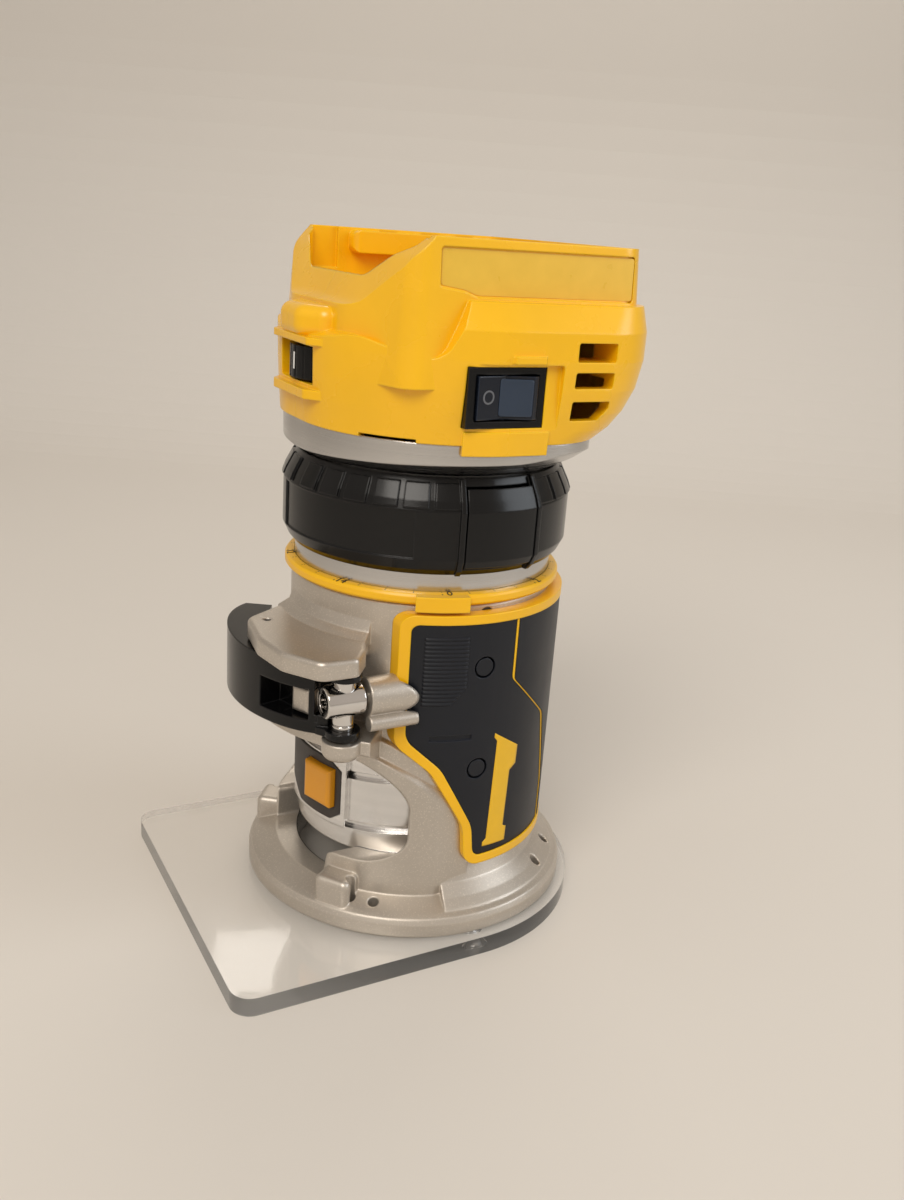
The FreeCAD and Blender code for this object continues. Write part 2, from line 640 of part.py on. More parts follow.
def housing_whole():
    belt = housing_solid(BELT)
    sweep = prism_x([(-70, 168.6), (-42.0, 168.8), (-36.5, 171.6), (-25, 167.0), (-19.5, 168.0),
                     (-15.5, 175.5), (-12.5, 182.5), (-12.5, 200), (-70, 200)],
                    -60, 60, [0, 4, 5, 5, 6, 6, 3, 0, 0])
    belt = belt.cut(sweep)
    upper = upper_solid(UPPER, 0)
    rim = prism_x([(-70, 177.7), (-34.6, 177.7), (-30.8, 184.6), (-27.4, 190.4), (-22.0, RIM_Z + 0.3),
                   (-22.0, 220), (-70, 220)], -60, 60, [0, 4, 8, 8, 4, 0, 0])
    upper = upper.cut(rim)
    bump = prism_z([(-13.2, -30), (-13.2, -38.8), (-6.0, -43.8), (6.0, -43.8), (13.2, -38.8), (13.2, -30)],
                   168.0, 176.6, [0, 4, 6, 6, 4, 0])
    bump = bump.makeFillet(3.2, [e for e in bump.Edges if e.CenterOfMass.y < -31])
    tab = housing_tab()
    brow_top = prism_z([(-19, -38), (-12, -43.2), (12, -43.2), (19, -38), (10, -34), (-10, -34)],
                       167.0, 168.8, 2)
    brow_low = prism_z([(-17, -38.5), (-11, -43.4), (11, -43.4), (17, -38.5), (10, -34), (-10, -34)],
                       153.2, 155.6, 2)
    switch_brow = prism_z([(44, -5.5), (49.0, -3.0), (49.0, 5.5), (44, 10)], 167.2, 169.0, 0)
    return fused([belt, upper, bump, tab, mirrored_x(tab), brow_top, brow_low, switch_brow])


def vent_cut(side):
    """Three slots with two bars between them, lowest one with a cut corner."""
    slots = []
    for z0, z1 in ((167.6, 172.4), (160.9, 165.0), (152.6, 157.6)):
        outline = [(15.6, z0), (27.6, z0), (27.6, z1), (15.6, z1)]
        if z0 < 155:
            outline = [(15.6, z0), (24.5, z0), (27.6, z0 + 3), (27.6, z1), (15.6, z1)]
        slots.append(prism_x(outline, side * 36, side * 52, 0.6))
    return slots


def housing_cuts():
    cavity = housing_solid([(HOUSING_BOTTOM - 5, 41.8, -36.8, 31.8, 36.6, 20),
                            (154, 43.4, -37.6, 38.6, 37, 18), (163, 43.6, -37.6, 41.6, 37, 17)])
    loft_space = housing_solid([(162.9, 37.6, -32.0, 38.0, 16, 11),
                                (FLOOR_Z - 3, 37.0, -31.6, 37.5, 16, 11)])
    pocket_half = [(18.0, -30.6), (POCKET_HALF, -24.2), (POCKET_HALF, 36.5)]
    pocket_plan = [(-x, y) for x, y in pocket_half[::-1]] + pocket_half
    pocket = prism_z(pocket_plan, FLOOR_Z, RIM_Z + 5, [3, 4, 12, 12, 4, 3])
    tools = [cavity, loft_space, pocket]
    tools.append(box(29.8, 60, SWITCH_Y[0], SWITCH_Y[1], SWITCH_Z[0], SWITCH_Z[1]))
    tools.append(cyl(13.1, DIAL_Z[0], DIAL_Z[1], 0, DIAL_AXIS_Y))
    tools.append(housing_screws())
    for x, y, z in HOUSING_SCREWS:
        tools.append(Part.makeCylinder(3.0, 20, V(-x - 0.1, y, z), V(-1, 0, 0)))
    frame = prism_x([(SWITCH_Y[0] - 1, SWITCH_Z[0] - 0.8), (12.0, SWITCH_Z[0] - 0.8), (12.0, 166.8),
                     (SWITCH_Y[0] - 1, 166.8)], 46.2, 60, 1)
    tools.append(frame)
    tools.append(box(-DIAL_HALF, DIAL_HALF, -60, -33, DIAL_Z[0], DIAL_Z[1]))
    tools += vent_cut(1) + vent_cut(-1)
    tools.append(sector(40, 47, HOUSING_BOTTOM - 1, HOUSING_BOTTOM + 0.9, 38, 58))
    tools.append(label_prism(0).cut(upper_solid(UPPER, LABEL_DEPTH)))
    for side in (1, -1):
        x0, x1 = sorted((side * (POCKET_HALF - 1), side * (POCKET_HALF + 1.3)))
        tools.append(box(x0, x1, -23.0, -15.0, 184.0, RIM_Z + 1))
    return tools



def label_prism(inset):
    """Side view (y, z) of the recess for a label on each wall."""
    i = inset
    outline = [(-20.8 + i, 193.5 - i), (-20.8 + i, 184.2 + i), (-13.8 + i, 183.2 + i), (-10.4, 182.0 + i),
               (36.4 - i, 182.0 + i), (36.4 - i, 193.5 - i)]
    return prism_x(outline, -60, 60, 0.9)


def battery_rails():
    """Rails on the receptacle walls that the battery slides along."""
    rails = []
    for side in (1, -1):
        x0, x1 = sorted((side * (POCKET_HALF - 5.0), side * (POCKET_HALF + 0.8)))
        rail = box(x0, x1, -12.0, 36.8, 188.6, 194.8)
        front = [e for e in rail.Edges if e.CenterOfMass.y < -11.9]
        rail = rail.makeFillet(2.4, front)
        n0, n1 = (x0 - 1, x1 - 2) if side < 0 else (x0 + 2, x1 + 1)
        for y in (-2.0, 12.0, 24.0):
            rail = rail.cut(box(n0, n1, y, y + 6, 192.6, 196))
        rails.append(rail)
    return rails


def housing_halves():
    whole = cut(housing_whole(), housing_cuts())
    whole = fused([whole] + battery_rails())
    big = 120
    right = whole.common(box(0, big, -big, big, 100, 300))
    left = whole.common(box(-big, 0, -big, big, 100, 300))
    return right, left


def power_switch_body():
    body = box(30, 46.0, SWITCH_Y[0] + 0.1, SWITCH_Y[1] - 0.1, SWITCH_Z[0] + 0.1, SWITCH_Z[1] - 0.1)
    deep, shallow = ROCKER_WELL
    well = box(shallow, 60, SWITCH_Y[0] + 2.2, SWITCH_Y[1] - 2.0, SWITCH_Z[0] + 1.8, SWITCH_Z[1] - 1.8)
    pressed = box(deep, 60, ROCKER_PIVOT[1], SWITCH_Y[1] - 2.0, SWITCH_Z[0] + 1.8, SWITCH_Z[1] - 1.8)
    return cut(body, [well, pressed])


def power_rocker():
    """Rocker that tips about an upright axis."""
    px, py = ROCKER_PIVOT
    y0 = SWITCH_Y[0] + 2.7
    y1 = SWITCH_Y[1] - 2.5
    z0 = SWITCH_Z[0] + 2.2
    z1 = SWITCH_Z[1] - 2.2
    outline = [(42.9, y0), (46.6, y0), (44.9, py), (45.3, py + 0.6), (47.2, y1 - 1.5), (46.6, y1),
               (42.9, y1)]
    rocker = prism_z(outline, z0, z1)
    return fused([rocker, cyl(0.9, z0 - 0.3, z1 + 0.3, px, py)])


def speed_dial():
    wheel = cyl(12.6, DIAL_Z[0] + 0.6, DIAL_Z[1] - 0.6, 0, DIAL_AXIS_Y)
    hub = cyl(3.0, DIAL_Z[0] - 2, DIAL_Z[1] - 1, 0, DIAL_AXIS_Y)
    notches = []
    for i in range(24):
        a = math.radians(i * 15 + 7.5)
        x = 12.8 * math.cos(a)
        y = DIAL_AXIS_Y + 12.8 * math.sin(a)
        notches.append(cyl(0.55, DIAL_Z[0], DIAL_Z[1], x, y))
    return cut(fused([wheel, hub]), notches)


def dial_potentiometer():
    body = box(-7, 7, DIAL_AXIS_Y - 6, DIAL_AXIS_Y + 8, 148.5, 154.4)
    return body


def control_module():
    tray = box(-28, 26, -10, 30, 148.5, 150.5)
    caps = [cyl(4.0, 150.5, 166, -18, 2), cyl(4.0, 150.5, 166, -18, 12)]
    chips = [box(-8, 22, 0, 24, 150.5, 156)]
    return fused([tray] + caps + chips)


def terminal_block():
    body = box(-18, 18, 18, 36.3, FLOOR_Z, 186)
    slots = [box(x - 0.9, x + 0.9, 10, 30, FLOOR_Z + 2, 190) for x in (-13, -6.5, 0, 6.5, 13)]
    return cut(body, slots)


def terminal_blades():
    return group([box(x - 0.4, x + 0.4, 19, 30.0, FLOOR_Z + 2.0, 184.5) for x in (-13, -6.5, 6.5, 13)])


HOUSING_SCREWS = [(37.8, -24, 156.0), (45.8, 8, 152.5), (47.3, 6, 172.5), (46.0, 33, 170.0)]


def housing_screws():
    """Screws that close the housing, in counterbores in its left side."""
    solids = []
    for x, y, z in HOUSING_SCREWS:
        head = Part.makeCylinder(2.6, 1.2, V(-x, y, z), V(1, 0, 0))
        shank = Part.makeCylinder(1.4, 7, V(1 - x, y, z), V(1, 0, 0))
        slot = Part.makeCylinder(1.2, 0.8, V(-x, y, z), V(1, 0, 0))
        solids.append(fused([head, shank]).cut(slot))
    return group(solids)


# ---- write the files ------------------------------------------------------------------
def build():
    pad_right, pad_left = grip_pads()
    half_right, half_left = housing_halves()
    groove = helical_groove(CAN_BOTTOM - 6, CAN_TOP + 1, groove_azimuth(CAN_BOTTOM - 6))
    return {
        "sub_base_plate": sub_base_plate(),
        "sub_base_screws": sub_base_screws(),
        "base_casting": base_casting(),
        "guide_pins": guide_pins(),
        "shelf_roll_pin": shelf_roll_pin(),
        "grip_trim": grip_trim(),
        "grip_pad_right": pad_right,
        "grip_pad_left": pad_left,
        "grip_rear_panel": grip_rear_panel(),
        "grip_plugs": grip_plugs(),
        "depth_scale_ring": depth_scale_ring(),
        "clamp_lever_arm": lever_arm(),
        "clamp_cross": clamp_cross(),
        "clamp_bolt": clamp_bolt(),
        "depth_ring": depth_ring(),
        "thread_pins": thread_pins(),
        "release_tab_right": release_tab(TAB_AZ[0]),
        "release_tab_left": release_tab(TAB_AZ[1]),
        "motor_can": motor_can().cut(groove),
        "spindle_lock_plate": spindle_lock_plate(),
        "lock_button": lock_button(),
        "bearing_dome": bearing_dome(),
        "stator_core": stator_core(),
        "stator_windings": stator_windings(),
        "lower_bearing": bearing(6.0, 14.0, 27.5, 35.5),
        "upper_bearing": bearing(4.0, 11.0, 139.5, 146.0),
        "spindle": spindle(),
        "rotor_core": rotor_core(),
        "cooling_fan": cooling_fan(),
        "collet": collet(),
        "collet_nut": collet_nut(),
        "led_ring": led_ring(),
        "housing_right": half_right,
        "housing_left": half_left,
        "power_switch_body": power_switch_body(),
        "power_rocker": power_rocker(),
        "speed_dial": speed_dial(),
        "dial_potentiometer": dial_potentiometer(),
        "control_module": control_module(),
        "terminal_block": terminal_block(),
        "terminal_blades": terminal_blades(),
        "housing_screws": housing_screws(),
    }


def groove_azimuth(z):
    """Azimuth of the groove at a height, so that it meets the ring's pins."""
    az, height = THREAD_PINS[0]
    return az + (z - height) / LEAD * 360


os.makedirs(OUT, exist_ok=True)
for name, shape in build().items():
    valid = shape.isValid()
    solids = len(shape.Solids)
    print(name, "valid" if valid else "INVALID", solids, "solids", round(shape.Volume))
    shape.exportStep(OUT + "/" + name + ".step")
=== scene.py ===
"""Dresses the trim router's frame: finishes, scale marks, grip ribs, labels and a plain studio."""

import json
import math

import bpy
import numpy as np
from mathutils import Matrix, Vector


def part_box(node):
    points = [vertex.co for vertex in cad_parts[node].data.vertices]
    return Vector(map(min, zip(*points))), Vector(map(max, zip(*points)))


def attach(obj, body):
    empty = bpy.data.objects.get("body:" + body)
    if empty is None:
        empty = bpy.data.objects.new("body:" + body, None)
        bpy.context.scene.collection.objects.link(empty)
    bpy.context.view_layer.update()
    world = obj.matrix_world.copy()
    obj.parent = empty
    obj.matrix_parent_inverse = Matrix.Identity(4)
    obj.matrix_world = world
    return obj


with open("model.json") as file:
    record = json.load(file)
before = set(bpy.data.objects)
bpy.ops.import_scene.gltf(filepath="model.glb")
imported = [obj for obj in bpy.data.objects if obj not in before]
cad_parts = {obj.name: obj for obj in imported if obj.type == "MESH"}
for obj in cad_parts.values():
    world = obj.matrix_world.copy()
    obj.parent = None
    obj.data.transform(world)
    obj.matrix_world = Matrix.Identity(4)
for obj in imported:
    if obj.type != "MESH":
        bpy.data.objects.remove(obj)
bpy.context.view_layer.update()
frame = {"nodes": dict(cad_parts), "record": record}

bl_info = {
    "name": "Trim Router Dressing",
    "version": (1, 0, 0),
    "blender": (4, 5, 0),
    "location": "3D View > Sidebar > Router",
    "description": "Finishes, marks and studio for a cordless trim router",
    "category": "Object",
}

MM = 0.001


# ---- sizes in metres, from the frame where it holds them ------------------------------
SCALE_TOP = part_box("depth_scale_ring")[1].z
GRIP_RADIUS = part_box("grip_plugs")[1].x + 0.2 * MM
NECK_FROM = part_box("depth_scale_ring")[0].z + 1.0 * MM
BORE_RADIUS = 34.8 * MM         # just outside the casting's bore, where its machined skin ends

# ---- sizes of the marked faces, in millimetres and degrees ----------------------------
SCALE_PROFILE_R = (37.6, 38.6, 39.8, 40.3)
SCALE_PROFILE_DROP = (0.0, 0.0, 0.2, 0.9)
SCALE_ZERO = 71.0               # azimuth of the first mark
NUMBER_OFFSET = 3.0             # azimuth of a number past its mark
NUMBER_RADIUS = 38.95
TICKS_PER_NUMBER = 4
TICKS_PER_MILLIMETRE = 2
TICK_FROM = 38.0                # radii between which the marks run
TICK_TO = 39.1
LONG_TICK_TO = 39.75
TICK_MIDDLE = 39.0

WALL_FROM_AXIS = 41.6           # side wall of the housing at WALL_LEVEL, before its draft
WALL_LEVEL = 160.0
WALL_DRAFT = 1.8 / 35.6
LABEL_RECESS = 0.7
LABEL_OUTLINE = ((-20.4, 193.1), (-20.4, 184.7), (-13.7, 183.7), (-10.3, 182.5), (36.0, 182.5), (36.0, 193.1))

ROCKER_SLOPE = 1.7 / 8.6        # fall of the rocker's face towards its pivot
PAD_SLOPE = 0.21
FONT_SIZE = 1.4                 # font size that makes a digit one unit high


# ---- properties -----------------------------------------------------------------------
def colour(name, description, value):
    """Colour that a user may change."""
    return bpy.props.FloatVectorProperty(
        name=name, description=description, default=value, size=3, subtype="COLOR", min=0.0, max=1.0)


def length(name, description, value):
    """Length in metres that a user may change."""
    return bpy.props.FloatProperty(
        name=name, description=description, default=value, min=0.0, unit="LENGTH", subtype="DISTANCE")


class RouterFinishes(bpy.types.PropertyGroup):
    """Colours of the router's materials."""

    housing: colour("Housing", "Yellow of the moulded housing", (0.900, 0.485, 0.002))
    trim: colour("Grip trim", "Yellow of the grip border and the scale ring", (0.900, 0.480, 0.002))
    casting: colour("Casting", "Grey of the die-cast base", (0.550, 0.502, 0.442))
    rubber: colour("Grip rubber", "Charcoal of the overmoulded grips", (0.0065, 0.0080, 0.0125))
    nylon: colour("Black nylon", "Black of the ring and the clamp lever", (0.0030, 0.0030, 0.0032))
    amber: colour("Lock button", "Amber of the spindle-lock button", (0.700, 0.290, 0.008))
    rocker: colour("Rocker", "Blue black of the power rocker", (0.006, 0.009, 0.016))
    ink: colour("Marks", "Ink of the printed scale", (0.020, 0.015, 0.010))
    acrylic: colour("Sub-base", "Tint of the clear sub-base", (0.955, 0.945, 0.925))


class RouterMarks(bpy.types.PropertyGroup):
    """Sizes of the printed and moulded detail."""

    tick_count: bpy.props.IntProperty(
        name="Ticks", description="Marks round the depth scale", default=32, min=4, max=72)
    tick_width: length("Tick width", "Width of one scale mark", 0.32 * MM)
    numeral: length("Numeral height", "Height of the scale numerals", 2.4 * MM)
    rib_count: bpy.props.IntProperty(
        name="Grip ribs", description="Fine ribs in each thumb patch", default=17, min=3, max=40)
    rib_height: length("Rib height", "How far a rib stands off the pad", 0.32 * MM)


class RouterStudio(bpy.types.PropertyGroup):
    """Floor, lamps and camera."""

    floor: colour("Floor", "Colour of the floor", (0.690, 0.640, 0.580))
    key: bpy.props.FloatProperty(
        name="Key", description="Power of the large lamp", default=6.0, min=0.0, unit="POWER")
    fill: bpy.props.FloatProperty(
        name="Fill", description="Brightness of the room", default=0.55, min=0.0)
    lens: bpy.props.FloatProperty(
        name="Lens", description="Focal length", default=33.77, min=10.0, unit="CAMERA")


# ---- meshes worked out with numpy -----------------------------------------------------
def grid_mesh(name, points):
    """Mesh from an array of points on a (u, v) grid, one quad for each cell of the grid."""
    nu, nv = points.shape[:2]
    index = np.arange(nu * nv).reshape(nu, nv)
    near, far = index[:-1], index[1:]
    quads = np.stack([near[:, :-1], far[:, :-1], far[:, 1:], near[:, 1:]], axis=-1).reshape(-1, 4)
    return mesh_from(name, points.reshape(-1, 3), quads.tolist())


def mesh_from(name, vertices, faces):
    """Mesh from an array of vertices and a list of faces, each a list of vertex numbers."""
    mesh = bpy.data.meshes.new(name)
    mesh.from_pydata(vertices.tolist(), [], faces)
    mesh.validate()
    mesh.update()
    return mesh


def piece(name, mesh, body, material, smooth=True):
    """Object at the origin that rides on a body and takes a material."""
    thing = bpy.data.objects.new(name, mesh)
    bpy.context.scene.collection.objects.link(thing)
    mesh.materials.clear()
    mesh.materials.append(material)
    mesh.polygons.foreach_set("use_smooth", np.full(len(mesh.polygons), smooth))
    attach(thing, body)
    return thing


def around(azimuth, radius, height):
    """Point at radius r and azimuth a from -Y towards +X: (r sin a, -r cos a, z)."""
    a = np.radians(azimuth)
    return np.stack(np.broadcast_arrays(radius * np.sin(a), -radius * np.cos(a), height), axis=-1)


def boxes(corners):
    """Closed six-sided blocks from an (n, 8, 3) array: four low corners in turn, then the four above them."""
    sides = np.array([[3, 2, 1, 0], [4, 5, 6, 7], [0, 1, 5, 4], [1, 2, 6, 5], [2, 3, 7, 6], [3, 0, 4, 7]])
    faces = (sides[None] + 8 * np.arange(len(corners))[:, None, None]).reshape(-1, 4)
    return corners.reshape(-1, 3), faces.tolist()


def shell(name, outer, inner):
    """Closed thin body: each row of points runs out along one grid and back along the other."""
    loop = np.concatenate([outer, inner[::-1]], axis=0)
    nu, nv = loop.shape[:2]
    index = np.arange(nu * nv).reshape(nu, nv)
    after = np.roll(index, -1, axis=0)
    sides = np.stack([index[:, :-1], after[:, :-1], after[:, 1:], index[:, 1:]], axis=-1).reshape(-1, 4)
    half = nu // 2
    rows = index[:half], index[:half - 1:-1]
    low = np.stack([rows[0][:-1, 0], rows[1][:-1, 0], rows[1][1:, 0], rows[0][1:, 0]], axis=-1)
    high = np.stack([rows[0][:-1, -1], rows[0][1:, -1], rows[1][1:, -1], rows[1][:-1, -1]], axis=-1)
    return mesh_from(name, loop.reshape(-1, 3), np.concatenate([sides, low, high]).tolist())


def slab(name, low, high):
    """Flat body with an outline: the two outlines are its faces, joined by a strip of quads."""
    count = len(low)
    index = np.arange(count)
    after = np.roll(index, -1)
    strip = np.stack([index, after, after + count, index + count], axis=-1).tolist()
    faces = strip + [index[::-1].tolist(), (index + count).tolist()]
    return mesh_from(name, np.concatenate([low, high]), faces)


def rounded_outline(corners, radius, steps=6):
    """Polygon with round corners: each is a quadratic curve between two sides, pulled to the corner."""
    corners = np.asarray(corners, dtype=float)
    before = np.roll(corners, 1, axis=0) - corners
    after = np.roll(corners, -1, axis=0) - corners
    before /= np.linalg.norm(before, axis=1, keepdims=True)
    after /= np.linalg.norm(after, axis=1, keepdims=True)
    t = np.linspace(0, 1, steps)[None, :, None]
    start = (corners + before * radius)[:, None]
    end = (corners + after * radius)[:, None]
    arc = start * (1 - t) ** 2 + 2 * corners[:, None] * t * (1 - t) + end * t ** 2
    return arc.reshape(-1, 2)


def scale_height(radius):
    """Top surface of the scale ring: flat inside, then a gentle slope to the outer edge."""
    return SCALE_TOP - np.interp(radius / MM, SCALE_PROFILE_R, SCALE_PROFILE_DROP) * MM


def patch(turn, height, nu, nv):
    """Grid of u and v from 0 to 1 with its azimuths turn(u, v) in degrees and its heights in metres."""
    u = np.linspace(0, 1, nu)[:, None]
    v = np.linspace(0, 1, nv)[None, :]
    u, v = np.broadcast_arrays(u, v)
    return u, v, turn(u, v), height(u, v) * MM


def text_mesh(body, height, depth):
    """Mesh of a short text, centred, lying in the XY plane with its height along Y."""
    curve = bpy.data.curves.new("glyphs", "FONT")
    curve.body = body
    curve.size = height * FONT_SIZE
    curve.extrude = depth
    curve.align_x = "CENTER"
    curve.align_y = "CENTER"
    curve.resolution_u = 4
    holder = bpy.data.objects.new("glyphs", curve)
    mesh = bpy.data.meshes.new_from_object(holder)
    bpy.data.objects.remove(holder)
    return mesh


def wrap_text(mesh, centre, right, up):
    """Lays a flat text on a plane given by its centre, its reading direction and its upright direction."""
    right = Vector(right).normalized()
    up = Vector(up).normalized()
    out = right.cross(up)
    turn = Matrix((right, up, out)).transposed().to_4x4()
    mesh.transform(Matrix.Translation(Vector(centre)) @ turn)


# ---- shader groups --------------------------------------------------------------------
def new_group(name, inputs, outputs):
    """Empty group with its sockets: each input is a label, a kind and a default."""
    tree = bpy.data.node_groups.new(name, "ShaderNodeTree")
    for label, kind, value in inputs:
        tree.interface.new_socket(label, in_out="INPUT", socket_type=kind).default_value = value
    for label, kind in outputs:
        tree.interface.new_socket(label, in_out="OUTPUT", socket_type=kind)
    start = tree.nodes.new("NodeGroupInput")
    end = tree.nodes.new("NodeGroupOutput")
    return tree, start, end


def add(tree, kind, **values):
    """Adds a node, sets its plain attributes and its numbered or named inputs."""
    node = tree.nodes.new(kind)
    for key, value in values.items():
        if key == "inputs":
            for socket, number in value.items():
                node.inputs[socket].default_value = number
        else:
            setattr(node, key, value)
    return node


def moulded_grain_group():
    """Fine moulded texture: two octaves of noise as a height, and slow noise as a tone."""
    tree, start, end = new_group(
        "Moulded Grain",
        [("Scale", "NodeSocketFloat", 1800.0), ("Tone Scale", "NodeSocketFloat", 40.0)],
        [("Height", "NodeSocketFloat"), ("Tone", "NodeSocketFloat")])
    place = add(tree, "ShaderNodeTexCoord")
    fine = add(tree, "ShaderNodeTexNoise", inputs={"Detail": 3.0, "Roughness": 0.6})
    slow = add(tree, "ShaderNodeTexNoise", inputs={"Detail": 4.0, "Roughness": 0.55})
    links = tree.links
    links.new(place.outputs["Object"], fine.inputs["Vector"])
    links.new(place.outputs["Object"], slow.inputs["Vector"])
    links.new(start.outputs["Scale"], fine.inputs["Scale"])
    links.new(start.outputs["Tone Scale"], slow.inputs["Scale"])
    links.new(fine.outputs["Fac"], end.inputs["Height"])
    links.new(slow.outputs["Fac"], end.inputs["Tone"])
    return tree


def soft_edge_group():
    """Rounds the shading over sharp edges and gives a mask that is bright along them."""
    tree, start, end = new_group(
        "Soft Edge",
        [("Radius", "NodeSocketFloat", 0.0006), ("Gain", "NodeSocketFloat", 6.0)],
        [("Normal", "NodeSocketVector"), ("Edge", "NodeSocketFloat")])
    bevel = add(tree, "ShaderNodeBevel", samples=6)
    shape = add(tree, "ShaderNodeNewGeometry")
    dot = add(tree, "ShaderNodeVectorMath", operation="DOT_PRODUCT")
    flip = add(tree, "ShaderNodeMath", operation="SUBTRACT", inputs={0: 1.0})
    gain = add(tree, "ShaderNodeMath", operation="MULTIPLY", use_clamp=True)
    links = tree.links
    links.new(start.outputs["Radius"], bevel.inputs["Radius"])
    links.new(bevel.outputs["Normal"], dot.inputs[0])
    links.new(shape.outputs["Normal"], dot.inputs[1])
    links.new(dot.outputs["Value"], flip.inputs[1])
    links.new(flip.outputs[0], gain.inputs[0])
    links.new(start.outputs["Gain"], gain.inputs[1])
    links.new(bevel.outputs["Normal"], end.inputs["Normal"])
    links.new(gain.outputs[0], end.inputs["Edge"])
    return tree


def dust_group():
    """Mask of fine dust: strongest on faces that look up, broken by noise."""
    tree, start, end = new_group(
        "Settled Dust",
        [("Amount", "NodeSocketFloat", 0.3), ("Scale", "NodeSocketFloat", 90.0)],
        [("Mask", "NodeSocketFloat")])
    place = add(tree, "ShaderNodeTexCoord")
    shape = add(tree, "ShaderNodeNewGeometry")
    split = add(tree, "ShaderNodeSeparateXYZ")
    up = add(tree, "ShaderNodeMapRange", inputs={"From Min": 0.1, "From Max": 0.95})
    noise = add(tree, "ShaderNodeTexNoise", inputs={"Detail": 6.0, "Roughness": 0.7})
    broken = add(tree, "ShaderNodeMapRange", inputs={"From Min": 0.42, "From Max": 0.68})
    both = add(tree, "ShaderNodeMath", operation="MULTIPLY")
    scaled = add(tree, "ShaderNodeMath", operation="MULTIPLY", use_clamp=True)
    links = tree.links
    links.new(place.outputs["Object"], noise.inputs["Vector"])
    links.new(start.outputs["Scale"], noise.inputs["Scale"])
    links.new(shape.outputs["Normal"], split.inputs[0])
    links.new(split.outputs["Z"], up.inputs["Value"])
    links.new(noise.outputs["Fac"], broken.inputs["Value"])
    links.new(up.outputs["Result"], both.inputs[0])
    links.new(broken.outputs["Result"], both.inputs[1])
    links.new(both.outputs[0], scaled.inputs[0])
    links.new(start.outputs["Amount"], scaled.inputs[1])
    links.new(scaled.outputs[0], end.inputs["Mask"])
    return tree


def cast_skin_group():
    """Blasted die-cast skin: small pits as a height and bright flakes as a mask."""
    tree, start, end = new_group(
        "Cast Skin",
        [("Scale", "NodeSocketFloat", 1500.0)],
        [("Height", "NodeSocketFloat"), ("Flake", "NodeSocketFloat")])
    place = add(tree, "ShaderNodeTexCoord")
    pits = add(tree, "ShaderNodeTexNoise", inputs={"Detail": 4.0, "Roughness": 0.65})
    cells = add(tree, "ShaderNodeTexVoronoi")
    shade = add(tree, "ShaderNodeSeparateColor")
    flake = add(tree, "ShaderNodeMapRange", inputs={"From Min": 0.80, "From Max": 1.0})
    links = tree.links
    links.new(place.outputs["Object"], pits.inputs["Vector"])
    links.new(place.outputs["Object"], cells.inputs["Vector"])
    links.new(start.outputs["Scale"], pits.inputs["Scale"])
    finer = add(tree, "ShaderNodeMath", operation="MULTIPLY", inputs={1: 2.6})
    links.new(start.outputs["Scale"], finer.inputs[0])
    links.new(finer.outputs[0], cells.inputs["Scale"])
    links.new(cells.outputs["Color"], shade.inputs[0])
    links.new(shade.outputs[0], flake.inputs["Value"])
    links.new(pits.outputs["Fac"], end.inputs["Height"])
    links.new(flake.outputs["Result"], end.inputs["Flake"])
    return tree


def turning_group():
    """Fine tool lines left by a lathe: noise that changes only along the spindle axis."""
    tree, start, end = new_group(
        "Turning Lines",
        [("Scale", "NodeSocketFloat", 2600.0)],
        [("Height", "NodeSocketFloat"), ("Band", "NodeSocketFloat")])
    place = add(tree, "ShaderNodeTexCoord")
    stretch = add(tree, "ShaderNodeMapping")
    stretch.inputs["Scale"].default_value = (0.004, 0.004, 1.0)
    lines = add(tree, "ShaderNodeTexNoise", inputs={"Detail": 5.0, "Roughness": 0.7})
    bands = add(tree, "ShaderNodeTexNoise", inputs={"Scale": 260.0, "Detail": 2.0})
    links = tree.links
    links.new(place.outputs["Object"], stretch.inputs["Vector"])
    links.new(stretch.outputs["Vector"], lines.inputs["Vector"])
    links.new(stretch.outputs["Vector"], bands.inputs["Vector"])
    links.new(start.outputs["Scale"], lines.inputs["Scale"])
    links.new(lines.outputs["Fac"], end.inputs["Height"])
    links.new(bands.outputs["Fac"], end.inputs["Band"])
    return tree


def machined_mask_group():
    """Mask of the machined places of the casting: above a height, or nearer the axis than a radius."""
    tree, start, end = new_group(
        "Machined Mask",
        [("Height", "NodeSocketFloat", 0.1), ("Radius", "NodeSocketFloat", 0.03)],
        [("Mask", "NodeSocketFloat")])
    place = add(tree, "ShaderNodeTexCoord")
    split = add(tree, "ShaderNodeSeparateXYZ")
    flat = add(tree, "ShaderNodeCombineXYZ")
    reach = add(tree, "ShaderNodeVectorMath", operation="LENGTH")
    above = add(tree, "ShaderNodeMath", operation="GREATER_THAN")
    near = add(tree, "ShaderNodeMath", operation="LESS_THAN")
    either = add(tree, "ShaderNodeMath", operation="MAXIMUM")
    links = tree.links
    links.new(place.outputs["Object"], split.inputs[0])
    links.new(split.outputs["X"], flat.inputs["X"])
    links.new(split.outputs["Y"], flat.inputs["Y"])
    links.new(flat.outputs[0], reach.inputs[0])
    links.new(split.outputs["Z"], above.inputs[0])
    links.new(start.outputs["Height"], above.inputs[1])
    links.new(reach.outputs["Value"], near.inputs[0])
    links.new(start.outputs["Radius"], near.inputs[1])
    links.new(above.outputs[0], either.inputs[0])
    links.new(near.outputs[0], either.inputs[1])
    links.new(either.outputs[0], end.inputs["Mask"])
    return tree


GROUPS = {
    "Moulded Grain": moulded_grain_group,
    "Soft Edge": soft_edge_group,
    "Settled Dust": dust_group,
    "Cast Skin": cast_skin_group,
    "Turning Lines": turning_group,
    "Machined Mask": machined_mask_group,
}


